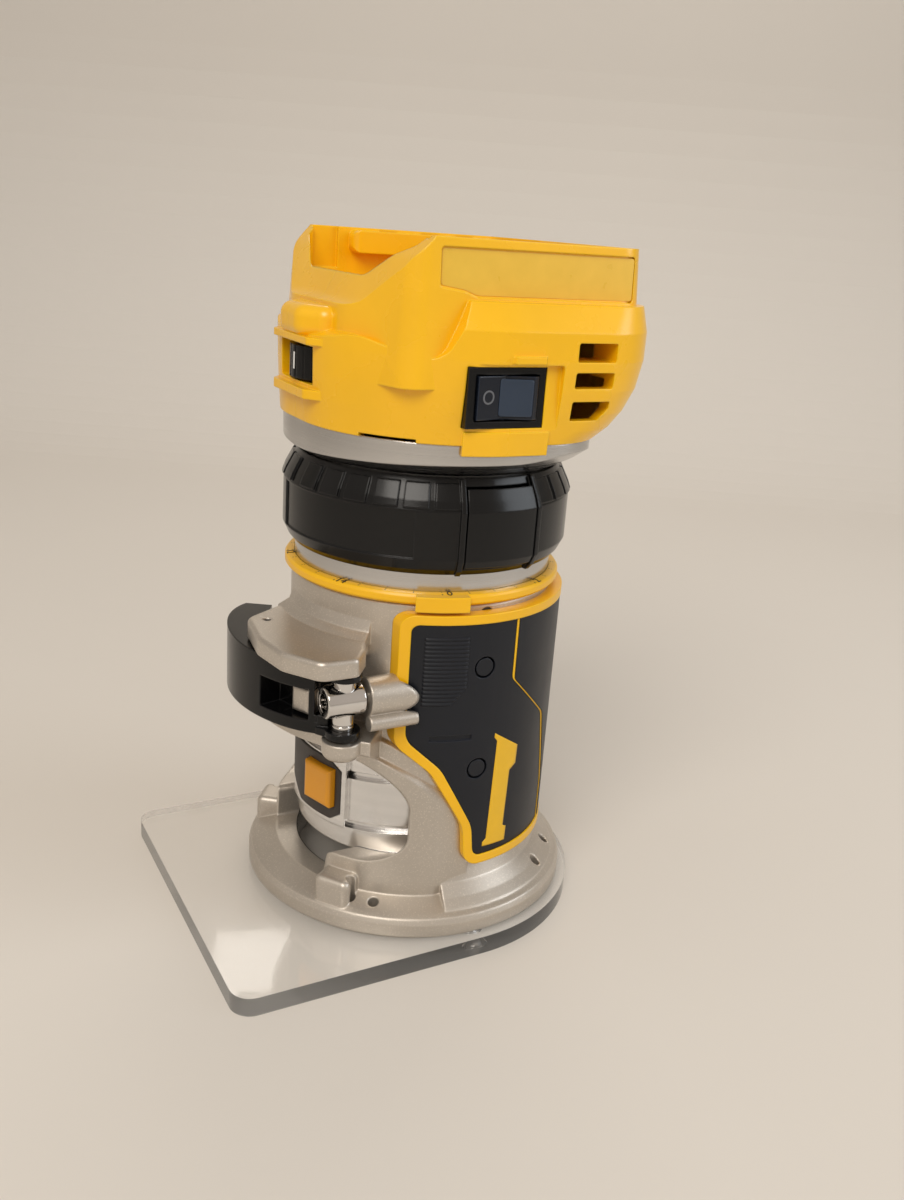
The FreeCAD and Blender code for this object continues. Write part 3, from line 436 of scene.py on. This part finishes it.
def use_group(tree, name, **values):
    """Places a group, built at its first use, and sets the inputs named, with _ for a space."""
    made = bpy.data.node_groups.get(name) or GROUPS[name]()
    node = tree.nodes.new("ShaderNodeGroup")
    node.node_tree = made
    for key, value in values.items():
        node.inputs[key.replace("_", " ")].default_value = value
    return node


# ---- materials ------------------------------------------------------------------------
def new_material(name):
    """New material with its node tree and its main shader."""
    material = bpy.data.materials.new(name)
    material.use_nodes = True
    tree = material.node_tree
    return material, tree, tree.nodes["Principled BSDF"]


MIX_SOCKETS = {"RGBA": (6, 7, 2), "FLOAT": (2, 3, 0)}     # low, high and result of a Mix node


def mixed(tree, low, high, mask, kind="RGBA"):
    """Colour or number that goes from low to high with a mask; low and high may be sockets."""
    node = tree.nodes.new("ShaderNodeMix")
    node.data_type = kind
    *ends, result = MIX_SOCKETS[kind]
    for number, value in zip(ends, (low, high)):
        if isinstance(value, bpy.types.NodeSocket):
            tree.links.new(value, node.inputs[number])
        else:
            node.inputs[number].default_value = (*value, 1.0) if kind == "RGBA" else value
    tree.links.new(mask, node.inputs[0])
    return node.outputs[result]


def ranged(tree, value, low, high, start=0.3, end=0.7):
    """Number that goes from low to high while a value goes from start to end."""
    node = tree.nodes.new("ShaderNodeMapRange")
    tree.links.new(value, node.inputs["Value"])
    for key, number in (("From Min", start), ("From Max", end), ("To Min", low), ("To Max", high)):
        node.inputs[key].default_value = number
    return node.outputs["Result"]


def bumped(tree, bsdf, height, normal, strength, distance):
    """Feeds a height, over a normal if there is one, to the shader as a bump."""
    bump = tree.nodes.new("ShaderNodeBump")
    bump.inputs["Strength"].default_value = strength
    bump.inputs["Distance"].default_value = distance
    tree.links.new(height, bump.inputs["Height"])
    if normal is not None:
        tree.links.new(normal, bump.inputs["Normal"])
    tree.links.new(bump.outputs["Normal"], bsdf.inputs["Normal"])


def shade(colour_value, factor):
    """Colour made lighter or darker by a factor, held to 1."""
    return tuple(min(1.0, c * factor) for c in colour_value)


def plastic(name, base, rough, grain=1800.0, depth=0.00002, edge=0.0006, worn=1.25, dust=0.12,
            coat=0.0, shine=0.5):
    """Moulded plastic or rubber: grain, slow tone, lighter rubbed edges and a little dust."""
    material, tree, bsdf = new_material(name)
    texture = use_group(tree, "Moulded Grain", Scale=grain)
    rim = use_group(tree, "Soft Edge", Radius=edge)
    powder = use_group(tree, "Settled Dust", Amount=dust)
    spread = ranged(tree, texture.outputs["Tone"], 0.0, 1.0)
    tone = mixed(tree, shade(base, 0.95), shade(base, 1.04), spread)
    rubbed = mixed(tree, tone, shade(base, worn), rim.outputs["Edge"])
    dusty = tuple(0.75 * c + 0.10 for c in base)
    final = mixed(tree, rubbed, dusty, powder.outputs["Mask"])
    tree.links.new(final, bsdf.inputs["Base Color"])
    satin = ranged(tree, texture.outputs["Tone"], rough * 0.88, rough * 1.12)
    tree.links.new(satin, bsdf.inputs["Roughness"])
    bumped(tree, bsdf, texture.outputs["Height"], rim.outputs["Normal"], 0.35, depth)
    bsdf.inputs["Specular IOR Level"].default_value = shine
    bsdf.inputs["Coat Weight"].default_value = coat
    bsdf.inputs["Coat Roughness"].default_value = 0.18
    return material


def cast_aluminium(name, base):
    """Die-cast aluminium with a blasted skin, bright flakes, rubbed edges and polished machined places, whose
    light and dark bands are partly turning marks and partly painted reflection.
    """
    material, tree, bsdf = new_material(name)
    skin = use_group(tree, "Cast Skin", Scale=1400.0)
    rim = use_group(tree, "Soft Edge", Radius=0.0009, Gain=4.0)
    slow = use_group(tree, "Moulded Grain", Tone_Scale=30.0)
    lines = use_group(tree, "Turning Lines")
    cut = use_group(tree, "Machined Mask", Height=NECK_FROM, Radius=BORE_RADIUS)
    tone = mixed(tree, shade(base, 0.94), shade(base, 1.06), ranged(tree, slow.outputs["Tone"], 0.0, 1.0))
    sparkle = mixed(tree, tone, shade(base, 1.22), skin.outputs["Flake"])
    rough = mixed(tree, sparkle, shade(base, 1.35), rim.outputs["Edge"])
    # machined places: light and dark bands along the axis, partly turning marks and partly painted reflection
    # of the streaks a polished surface shows
    bright = mixed(tree, (0.46, 0.45, 0.44), (0.66, 0.645, 0.63), lines.outputs["Band"])
    tree.links.new(mixed(tree, rough, bright, cut.outputs["Mask"]), bsdf.inputs["Base Color"])
    satin = ranged(tree, slow.outputs["Tone"], 0.33, 0.43)
    fine = ranged(tree, lines.outputs["Height"], 0.16, 0.30)
    tree.links.new(mixed(tree, satin, fine, cut.outputs["Mask"], "FLOAT"), bsdf.inputs["Roughness"])
    tree.links.new(mixed(tree, 0.80, 1.0, cut.outputs["Mask"], "FLOAT"), bsdf.inputs["Metallic"])
    height = mixed(tree, skin.outputs["Height"], lines.outputs["Height"], cut.outputs["Mask"], "FLOAT")
    bumped(tree, bsdf, height, rim.outputs["Normal"], 0.30, 0.00003)
    return material


def turned_metal(name, base, rough, edge=0.0004):
    """Metal turned on a lathe: lines round the spindle axis and bands of polish."""
    material, tree, bsdf = new_material(name)
    lines = use_group(tree, "Turning Lines")
    rim = use_group(tree, "Soft Edge", Radius=edge)
    tone = mixed(tree, shade(base, 0.90), shade(base, 1.05), ranged(tree, lines.outputs["Band"], 0.0, 1.0))
    tree.links.new(tone, bsdf.inputs["Base Color"])
    tree.links.new(ranged(tree, lines.outputs["Height"], rough * 0.7, rough * 1.3), bsdf.inputs["Roughness"])
    bumped(tree, bsdf, lines.outputs["Height"], rim.outputs["Normal"], 0.12, 0.00001)
    bsdf.inputs["Metallic"].default_value = 1.0
    return material


def plated(name, base, rough):
    """Bright plating with faint smears."""
    material, tree, bsdf = new_material(name)
    texture = use_group(tree, "Moulded Grain", Scale=900.0, Tone_Scale=120.0)
    rim = use_group(tree, "Soft Edge", Radius=0.0004)
    tone = mixed(tree, shade(base, 0.92), base, ranged(tree, texture.outputs["Tone"], 0.0, 1.0))
    tree.links.new(tone, bsdf.inputs["Base Color"])
    tree.links.new(ranged(tree, texture.outputs["Tone"], rough * 0.6, rough * 1.6), bsdf.inputs["Roughness"])
    bumped(tree, bsdf, texture.outputs["Height"], rim.outputs["Normal"], 0.05, 0.00001)
    bsdf.inputs["Metallic"].default_value = 1.0
    return material


def clear_sheet(name, tint):
    """Clear acrylic with a few fine scuffs, with painted shade on the faces where it is cut across and along
    its sharp edges.
    """
    material, tree, bsdf = new_material(name)
    texture = use_group(tree, "Moulded Grain", Scale=500.0, Tone_Scale=60.0)
    rim = use_group(tree, "Soft Edge", Radius=0.0008, Gain=3.0)
    place = add(tree, "ShaderNodeNewGeometry")
    split = add(tree, "ShaderNodeSeparateXYZ")
    level = add(tree, "ShaderNodeMath", operation="ABSOLUTE")
    tree.links.new(place.outputs["True Normal"], split.inputs[0])
    tree.links.new(split.outputs["Z"], level.inputs[0])
    # painted shade: the colour darkens on the upright cut faces and, more lightly, along the sheet's sharp
    # edges
    painted_edge_shade = mixed(tree, shade(tint, 0.42), tint, level.outputs[0])
    tint_and_painted_edge_shade = mixed(tree, painted_edge_shade, shade(tint, 0.85), rim.outputs["Edge"])
    tree.links.new(tint_and_painted_edge_shade, bsdf.inputs["Base Color"])
    tree.links.new(ranged(tree, texture.outputs["Tone"], 0.02, 0.09), bsdf.inputs["Roughness"])
    bsdf.inputs["Transmission Weight"].default_value = 0.88
    bsdf.inputs["IOR"].default_value = 1.49
    open_to_light(tree, bsdf)
    return material


def open_to_light(tree, bsdf):
    """Lets shadow rays pass a clear sheet, so that the floor under it stays lit."""
    path = add(tree, "ShaderNodeLightPath")
    clear = add(tree, "ShaderNodeBsdfTransparent", inputs={"Color": (0.95, 0.94, 0.93, 1.0)})
    either = add(tree, "ShaderNodeMath", operation="MAXIMUM")
    mix = add(tree, "ShaderNodeMixShader")
    tree.links.new(path.outputs["Is Shadow Ray"], either.inputs[0])
    tree.links.new(path.outputs["Is Diffuse Ray"], either.inputs[1])
    tree.links.new(either.outputs[0], mix.inputs[0])
    tree.links.new(bsdf.outputs[0], mix.inputs[1])
    tree.links.new(clear.outputs[0], mix.inputs[2])
    tree.links.new(mix.outputs[0], tree.nodes["Material Output"].inputs["Surface"])


def printed(name, base, rough=0.5):
    """Thin printed ink or label film."""
    material, tree, bsdf = new_material(name)
    texture = use_group(tree, "Moulded Grain", Scale=2500.0, Tone_Scale=200.0)
    spread = ranged(tree, texture.outputs["Tone"], 0.0, 1.0)
    tone = mixed(tree, shade(base, 0.97), shade(base, 1.03), spread)
    tree.links.new(tone, bsdf.inputs["Base Color"])
    tree.links.new(ranged(tree, texture.outputs["Tone"], rough * 0.9, rough * 1.1), bsdf.inputs["Roughness"])
    bumped(tree, bsdf, texture.outputs["Height"], None, 0.15, 0.00001)
    return material


def material_named(name, context):
    """Builds a material once and hands it out again after that."""
    made = bpy.data.materials.get(name)
    if made:
        return made
    c = context.scene.router_finishes
    makers = {
        "Housing Yellow": lambda: plastic(
            name, tuple(c.housing), 0.27, grain=1500.0, depth=0.00003, dust=0.02, coat=0.25),
        "Trim Yellow": lambda: plastic(name, tuple(c.trim), 0.34, grain=1800.0, dust=0.02, coat=0.1),
        "Amber Button": lambda: plastic(name, tuple(c.amber), 0.32, depth=0.00001, coat=0.2),
        "Grip Rubber": lambda: plastic(
            name, tuple(c.rubber), 0.42, grain=2200.0, depth=0.00004, worn=1.9, dust=0.012, shine=0.34),
        "Black Nylon": lambda: plastic(
            name, tuple(c.nylon), 0.20, grain=1600.0, depth=0.00003, worn=4.0, dust=0.01, shine=0.32),
        "Lock Plate": lambda: plastic(name, (0.035, 0.028, 0.024), 0.45),
        "Rocker Black": lambda: plastic(
            name, tuple(c.rocker), 0.16, depth=0.000005, worn=2.5, dust=0.01, coat=0.1, shine=0.35),
        # the raised pad's lighter blue colour is painted sheen, standing in for the light the pad catches
        "Rocker Pad Sheen": lambda: plastic(
            name, (0.022, 0.036, 0.062), 0.30, depth=0.000005, worn=1.5, dust=0.01),
        "Terminal Orange": lambda: plastic(name, (0.70, 0.19, 0.008), 0.45),
        "Cast Aluminium": lambda: cast_aluminium(name, tuple(c.casting)),
        "Turned Aluminium": lambda: turned_metal(name, (0.80, 0.79, 0.78), 0.22),
        "Ground Steel": lambda: turned_metal(name, (0.52, 0.51, 0.50), 0.30),
        "Black Steel": lambda: plated(name, (0.10, 0.10, 0.105), 0.35),
        "Chrome": lambda: plated(name, (0.72, 0.70, 0.68), 0.08),
        "Contact Brass": lambda: plated(name, (0.75, 0.52, 0.24), 0.25),
        "Winding Copper": lambda: plated(name, (0.60, 0.22, 0.08), 0.35),
        "Clear Acrylic": lambda: clear_sheet(name, tuple(c.acrylic)),
        "Lens": lambda: plastic(name, (0.75, 0.75, 0.70), 0.35),
        "Scale Ink": lambda: printed(name, tuple(c.ink)),
        "White Ink": lambda: printed(name, (0.80, 0.80, 0.78)),
        "Grey Ink": lambda: printed(name, (0.110, 0.115, 0.125)),
        "Strip Yellow": lambda: printed(name, (0.800, 0.460, 0.012), 0.35),
        "Label Film": lambda: printed(name, (0.760, 0.470, 0.045), 0.30),
    }
    return makers[name]()


FINISH_OF_SLOT = {
    "clear_acrylic": "Clear Acrylic",
    "steel": "Ground Steel",
    "dark_steel": "Black Steel",
    "cast_aluminium": "Cast Aluminium",
    "turned_aluminium": "Turned Aluminium",
    "yellow_plastic": "Housing Yellow",
    "black_plastic": "Black Nylon",
    "rocker_plastic": "Rocker Black",
    "brown_plastic": "Lock Plate",
    "amber_plastic": "Amber Button",
    "orange_plastic": "Terminal Orange",
    "grip_rubber": "Grip Rubber",
    "chrome": "Chrome",
    "copper": "Winding Copper",
    "brass": "Contact Brass",
    "clear_lens": "Lens",
}
FINISH_OF_NODE = {"grip_trim": "Trim Yellow", "depth_scale_ring": "Trim Yellow"}


# ---- operators ------------------------------------------------------------------------
class ROUTER_OT_finish_nodes(bpy.types.Operator):
    """Give every carried-over solid the finish of its material slot"""

    bl_idname = "router.finish_nodes"
    bl_label = "Finish the Solids"

    def execute(self, context):
        slots = {part["node"]: part["material_slot"] for part in frame["record"]["subparts"]}
        for name, thing in frame["nodes"].items():
            finish = FINISH_OF_NODE.get(name) or FINISH_OF_SLOT[slots[name]]
            thing.data.materials.clear()
            thing.data.materials.append(material_named(finish, context))
        return {"FINISHED"}


class ROUTER_OT_scale_marks(bpy.types.Operator):
    """Print the ticks and the millimetre numbers on the depth scale"""

    bl_idname = "router.scale_marks"
    bl_label = "Depth Scale Marks"

    def execute(self, context):
        marks = context.scene.router_marks
        ink = material_named("Scale Ink", context)
        ticks = mesh_from("scale_ticks", *boxes(self.tick_corners(marks)))
        piece("scale_ticks", ticks, "scale_ring", ink, smooth=False)
        for step in range(0, marks.tick_count, TICKS_PER_NUMBER):
            turn = math.radians(SCALE_ZERO + NUMBER_OFFSET + step * 360.0 / marks.tick_count)
            out = Vector((math.sin(turn), -math.cos(turn), 0.0))
            along = Vector((math.cos(turn), math.sin(turn), 0.0))
            rise = Vector((-out.x, -out.y, 0.12))
            millimetres = step // TICKS_PER_MILLIMETRE
            glyph = text_mesh(str(millimetres), marks.numeral, 0.04 * MM)
            wrap_text(glyph, out * NUMBER_RADIUS * MM + Vector((0, 0, SCALE_TOP)), along, rise)
            piece(f"scale_number_{millimetres}", glyph, "scale_ring", ink, smooth=False)
        return {"FINISHED"}

    def tick_corners(self, marks):
        """Corners of thin blocks on the ring's top, spaced evenly, each fourth one longer."""
        number = np.arange(marks.tick_count)
        azimuth = SCALE_ZERO + number * 360.0 / marks.tick_count
        outer = np.where(number % TICKS_PER_NUMBER == 0, LONG_TICK_TO, TICK_TO) * MM
        inner = np.full(marks.tick_count, TICK_FROM * MM)
        half = np.degrees(marks.tick_width / 2 / (TICK_MIDDLE * MM))
        turns = np.stack([azimuth - half, azimuth + half, azimuth + half, azimuth - half], axis=1)
        radii = np.stack([inner, inner, outer, outer], axis=1)
        low = around(turns, radii, scale_height(radii) - 0.1 * MM)
        high = around(turns, radii, scale_height(radii) + 0.03 * MM)
        return np.concatenate([low, high], axis=1)


def rib_body(name, side, marks):
    """Thumb patch: the radius rises and falls as a raised cosine along the height, once for each rib."""
    count = marks.rib_count
    front, rear, chamfer = 65.0, 82.5, 24.0
    foot, tall = 74.0, 20.0
    u, v, turn, z = patch(
        lambda u, v: side * (front * (1 - u) + (rear - chamfer * np.clip(0.25 - v, 0, 1)) * u),
        lambda u, v: foot + tall * v, 24, count * 8 + 1)
    wave = 0.5 - 0.5 * np.cos(2 * math.pi * count * v)
    ends = np.clip(np.minimum(u, 1 - u) * 30, 0, 1)
    crest, valley, sunk = 1.15, 0.18, 0.4 * MM
    outer = around(turn, GRIP_RADIUS + marks.rib_height * (wave ** 0.7 * ends * crest - valley), z)
    inner = around(turn, GRIP_RADIUS - sunk, z)
    return shell(name, outer[::side], inner[::side])


class ROUTER_OT_grip_ribs(bpy.types.Operator):
    """Raise the fine thumb ribs on both grip pads"""

    bl_idname = "router.grip_ribs"
    bl_label = "Grip Ribs"

    def execute(self, context):
        rubber = material_named("Grip Rubber", context)
        marks = context.scene.router_marks
        for side, name in ((1, "grip_ribs_right"), (-1, "grip_ribs_left")):
            piece(name, rib_body(name, side, marks), "base", rubber)
        return {"FINISHED"}


def strip_body(name, side):
    """Bare slanted strip: its left edge leans and hooks out at both ends, its right edge steps out."""
    left, lean, hook, width = 96.4, 1.8, 1.5, 8.4
    upper_step, lower_step = 3.2, 2.0
    bottom, top = 28.2, 64.0
    bottom_fall, top_fall = 0.4, 6.0

    def turn(u, v):
        hooks = np.clip((v - 0.93) / 0.03, 0, 1) + np.clip((0.06 - v) / 0.02, 0, 1)
        steps = upper_step * np.clip((v - 0.76) / 0.05, 0, 1) + lower_step * np.clip((0.17 - v) / 0.02, 0, 1)
        return side * (left + lean * v - hook * hooks * (1 - u) + u * (width + steps))

    def height(u, v):
        return (bottom - bottom_fall * u) * (1 - v) + (top - top_fall * u) * v

    _, _, azimuth, z = patch(turn, height, 12, 81)
    outer = around(azimuth, GRIP_RADIUS + 0.06 * MM, z)
    inner = around(azimuth, GRIP_RADIUS - 0.2 * MM, z)
    return shell(name, outer[::side], inner[::side])


class ROUTER_OT_grip_strips(bpy.types.Operator):
    """Lay the bare coloured strip on each grip pad"""

    bl_idname = "router.grip_strips"
    bl_label = "Grip Strips"

    def execute(self, context):
        film = material_named("Strip Yellow", context)
        for side, name in ((1, "grip_strip_right"), (-1, "grip_strip_left")):
            piece(name, strip_body(name, side), "base", film)
        return {"FINISHED"}


def label_body(name, side):
    """Bare label: a rounded outline on the drafted wall, its distance from the middle falling with height."""
    outline = rounded_outline(LABEL_OUTLINE, 0.8)
    y, z = outline[:, 0], outline[:, 1]
    floor = WALL_FROM_AXIS - (z - WALL_LEVEL) * WALL_DRAFT - LABEL_RECESS
    low = np.stack([side * (floor - 0.1), y, z], axis=-1) * MM
    high = np.stack([side * (floor + 0.12), y, z], axis=-1) * MM
    return slab(name, low[::side], high[::side])


class ROUTER_OT_labels(bpy.types.Operator):
    """Stick a bare label in the recess of each side wall"""

    bl_idname = "router.labels"
    bl_label = "Bare Labels"

    def execute(self, context):
        film = material_named("Label Film", context)
        for side, name in ((1, "label_right"), (-1, "label_left")):
            piece(name, label_body(name, side), "motor", film, smooth=False)
        return {"FINISHED"}


def pad_body(low, high):
    """Raised square on the rocker's high side: a rounded outline whose face leans in to the pivot."""
    foot = low.y + 6.9 * MM
    edge = high.y - 1.7 * MM
    bottom = low.z + 1.1 * MM
    top = high.z - 1.1 * MM
    outline = rounded_outline([(foot, bottom), (edge, bottom), (edge, top), (foot, top)], 0.7 * MM)
    y, z = outline[:, 0], outline[:, 1]
    face = high.x - (edge - y) * PAD_SLOPE
    sunk = np.stack([face - 0.9 * MM, y, z], axis=-1)
    proud = np.stack([face, y, z], axis=-1)
    return slab("rocker_pad", sunk, proud)


class ROUTER_OT_switch_marks(bpy.types.Operator):
    """Mark the rocker with an O and a raised pad, and number the speed dial"""

    bl_idname = "router.switch_marks"
    bl_label = "Switch and Dial Marks"

    def execute(self, context):
        self.mark_rocker(context)
        self.number_dial(context)
        return {"FINISHED"}

    def mark_rocker(self, context):
        """The O lies on the sloping low half, the pad on the high half."""
        low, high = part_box("power_rocker")
        inset = 3.4
        place = Vector((
            high.x - 0.6 * MM - ROCKER_SLOPE * inset * MM, low.y + inset * MM, (low.z + high.z) / 2))
        glyph = text_mesh("O", 3.6 * MM, 0.05 * MM)
        wrap_text(glyph, place, (-ROCKER_SLOPE, 1, 0), (0, 0, 1))
        grey = material_named("Grey Ink", context)
        piece("rocker_mark_off", glyph, "rocker", grey, smooth=False)
        # the pad takes a lighter blue material: painted sheen on the raised square
        blue = material_named("Rocker Pad Sheen", context)
        piece("rocker_pad", pad_body(low, high), "rocker", blue, smooth=False)

    def number_dial(self, context):
        """Numbers 1 to 5 stand round the rim, one every 54 degrees."""
        low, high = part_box("speed_dial")
        centre = (low + high) / 2
        radius = (high.x - low.x) / 2
        level = high.z - 4.3 * MM
        white = material_named("White Ink", context)
        for number in range(1, 6):
            turn = math.radians(4.0 - 54.0 * (number - 1))
            out = Vector((math.sin(turn), -math.cos(turn), 0.0))
            along = Vector((math.cos(turn), math.sin(turn), 0.0))
            glyph = text_mesh(str(number), 4.6 * MM, 0.06 * MM)
            wrap_text(glyph, Vector((centre.x, centre.y, level)) + out * radius, along, (0, 0, 1))
            piece(f"dial_number_{number}", glyph, "dial", white, smooth=False)


class ROUTER_OT_studio(bpy.types.Operator):
    """Set up the pale floor, the soft lamps and the camera"""

    bl_idname = "router.studio"
    bl_label = "Studio"

    def execute(self, context):
        studio = context.scene.router_studio
        self.floor(studio)
        self.lamps(studio)
        self.world(context, studio)
        self.camera(context, studio)
        context.scene.view_settings.view_transform = "Standard"
        return {"FINISHED"}

    def floor(self, studio):
        """Pale matt floor that rises into a wall behind the router."""
        mesh = grid_mesh("floor", self.sweep(6.0))
        thing = bpy.data.objects.new("floor", mesh)
        bpy.context.scene.collection.objects.link(thing)
        material, tree, bsdf = new_material("Floor")
        texture = use_group(tree, "Moulded Grain", Scale=60.0, Tone_Scale=3.0)
        base = tuple(studio.floor)
        tone = mixed(tree, shade(base, 0.98), shade(base, 1.02), texture.outputs["Tone"])
        tree.links.new(tone, bsdf.inputs["Base Color"])
        bsdf.inputs["Roughness"].default_value = 0.9
        bsdf.inputs["Specular IOR Level"].default_value = 0.1
        mesh.materials.append(material)

    def sweep(self, size):
        """Floor that curves up into a wall: straight, a quarter circle, then straight up."""
        flat, bend, gap = 0.55, 0.35, 0.3 * MM
        t = np.linspace(0, math.pi / 2, 24)
        along = np.concatenate([[-size], flat + bend * np.sin(t), [flat + bend]])
        up = np.concatenate([[0.0], bend * (1 - np.cos(t)), [size]]) - gap
        away = Vector((-0.8691, 0.4947, 0.0))
        side = np.linspace(-size, size, 2)
        x = along[None, :] * away.x + side[:, None] * away.y
        y = along[None, :] * away.y - side[:, None] * away.x
        return np.stack([x, y, np.broadcast_to(up, x.shape)], axis=-1)

    def lamps(self, studio):
        """Large warm lamp, a warm one opposite, and a weak cool one at the side."""
        warm = (1.0, 0.95, 0.88)
        cool = (0.86, 0.93, 1.0)
        self.lamp("key", (0.55, -0.55, 0.85), 0.6, studio.key, warm)
        self.lamp("back", (-0.7, 0.5, 0.7), 0.7, studio.key * 0.5, warm)
        self.lamp("side", (0.5, 0.65, 0.45), 0.5, studio.key * 0.35, cool)

    def lamp(self, name, place, size, power, tint):
        """Round area lamp aimed at the middle of the router."""
        data = bpy.data.lights.new(name, "AREA")
        data.shape = "DISK"
        data.size = size
        data.energy = power
        data.color = tint
        thing = bpy.data.objects.new(name, data)
        bpy.context.scene.collection.objects.link(thing)
        thing.location = place
        aim = Vector((0, 0, 0.09)) - Vector(place)
        thing.rotation_euler = aim.to_track_quat("-Z", "Y").to_euler()

    def world(self, context, studio):
        """Even room light, with a plain backdrop where it is seen, reflected or looked at through glass."""
        world = bpy.data.worlds.new("Room")
        world.use_nodes = True
        tree = world.node_tree
        light = tree.nodes["Background"]
        light.inputs["Color"].default_value = (1.0, 0.97, 0.93, 1.0)
        light.inputs["Strength"].default_value = studio.fill
        seen = tree.nodes.new("ShaderNodeBackground")
        seen.inputs["Color"].default_value = (0.52, 0.46, 0.40, 1.0)
        seen.inputs["Strength"].default_value = 1.0
        path = tree.nodes.new("ShaderNodeLightPath")
        seen_by = path.outputs["Is Camera Ray"]
        for ray in ("Is Transmission Ray", "Is Glossy Ray"):
            either = tree.nodes.new("ShaderNodeMath")
            either.operation = "MAXIMUM"
            tree.links.new(seen_by, either.inputs[0])
            tree.links.new(path.outputs[ray], either.inputs[1])
            seen_by = either.outputs[0]
        mix = tree.nodes.new("ShaderNodeMixShader")
        tree.links.new(seen_by, mix.inputs[0])
        tree.links.new(light.outputs[0], mix.inputs[1])
        tree.links.new(seen.outputs[0], mix.inputs[2])
        tree.links.new(mix.outputs[0], tree.nodes["World Output"].inputs[0])
        context.scene.world = world

    def camera(self, context, studio):
        """Camera placed by its line of sight and its upright direction."""
        data = bpy.data.cameras.new("camera")
        data.lens = studio.lens
        data.sensor_width = 36.0
        thing = bpy.data.objects.new("camera", data)
        context.scene.collection.objects.link(thing)
        look = Vector((-0.8245, 0.4693, -0.3162)).normalized()
        right = look.cross(Vector((-0.3095, 0.0938, 0.9463))).normalized()
        up = right.cross(look)
        turn = Matrix((right, up, -look)).transposed().to_4x4()
        thing.matrix_world = Matrix.Translation(Vector((0.2846, -0.1506, 0.1985))) @ turn
        context.scene.camera = thing


class ROUTER_PT_panel(bpy.types.Panel):
    """Sidebar panel with the router's settings and steps"""

    bl_label = "Trim Router"
    bl_idname = "ROUTER_PT_panel"
    bl_space_type = "VIEW_3D"
    bl_region_type = "UI"
    bl_category = "Router"

    def draw(self, context):
        layout = self.layout
        for group in (context.scene.router_finishes, context.scene.router_marks, context.scene.router_studio):
            column = layout.column(align=True)
            for key in group.bl_rna.properties.keys():
                if key not in ("rna_type", "name"):
                    column.prop(group, key)
        for step in STEPS:
            layout.operator(step.bl_idname)


STEPS = (
    ROUTER_OT_finish_nodes,
    ROUTER_OT_scale_marks,
    ROUTER_OT_grip_ribs,
    ROUTER_OT_grip_strips,
    ROUTER_OT_labels,
    ROUTER_OT_switch_marks,
    ROUTER_OT_studio,
)
SETTINGS = (RouterFinishes, RouterMarks, RouterStudio)


def register():
    for part in SETTINGS + STEPS + (ROUTER_PT_panel,):
        bpy.utils.register_class(part)
    bpy.types.Scene.router_finishes = bpy.props.PointerProperty(type=RouterFinishes)
    bpy.types.Scene.router_marks = bpy.props.PointerProperty(type=RouterMarks)
    bpy.types.Scene.router_studio = bpy.props.PointerProperty(type=RouterStudio)


def unregister():
    del bpy.types.Scene.router_studio
    del bpy.types.Scene.router_marks
    del bpy.types.Scene.router_finishes
    for part in reversed(SETTINGS + STEPS + (ROUTER_PT_panel,)):
        bpy.utils.unregister_class(part)


def main():
    """Registers the add-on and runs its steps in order."""
    register()
    for step in STEPS:
        group, name = step.bl_idname.split(".")
        getattr(getattr(bpy.ops, group), name)()


if __name__ == "__main__":
    main()
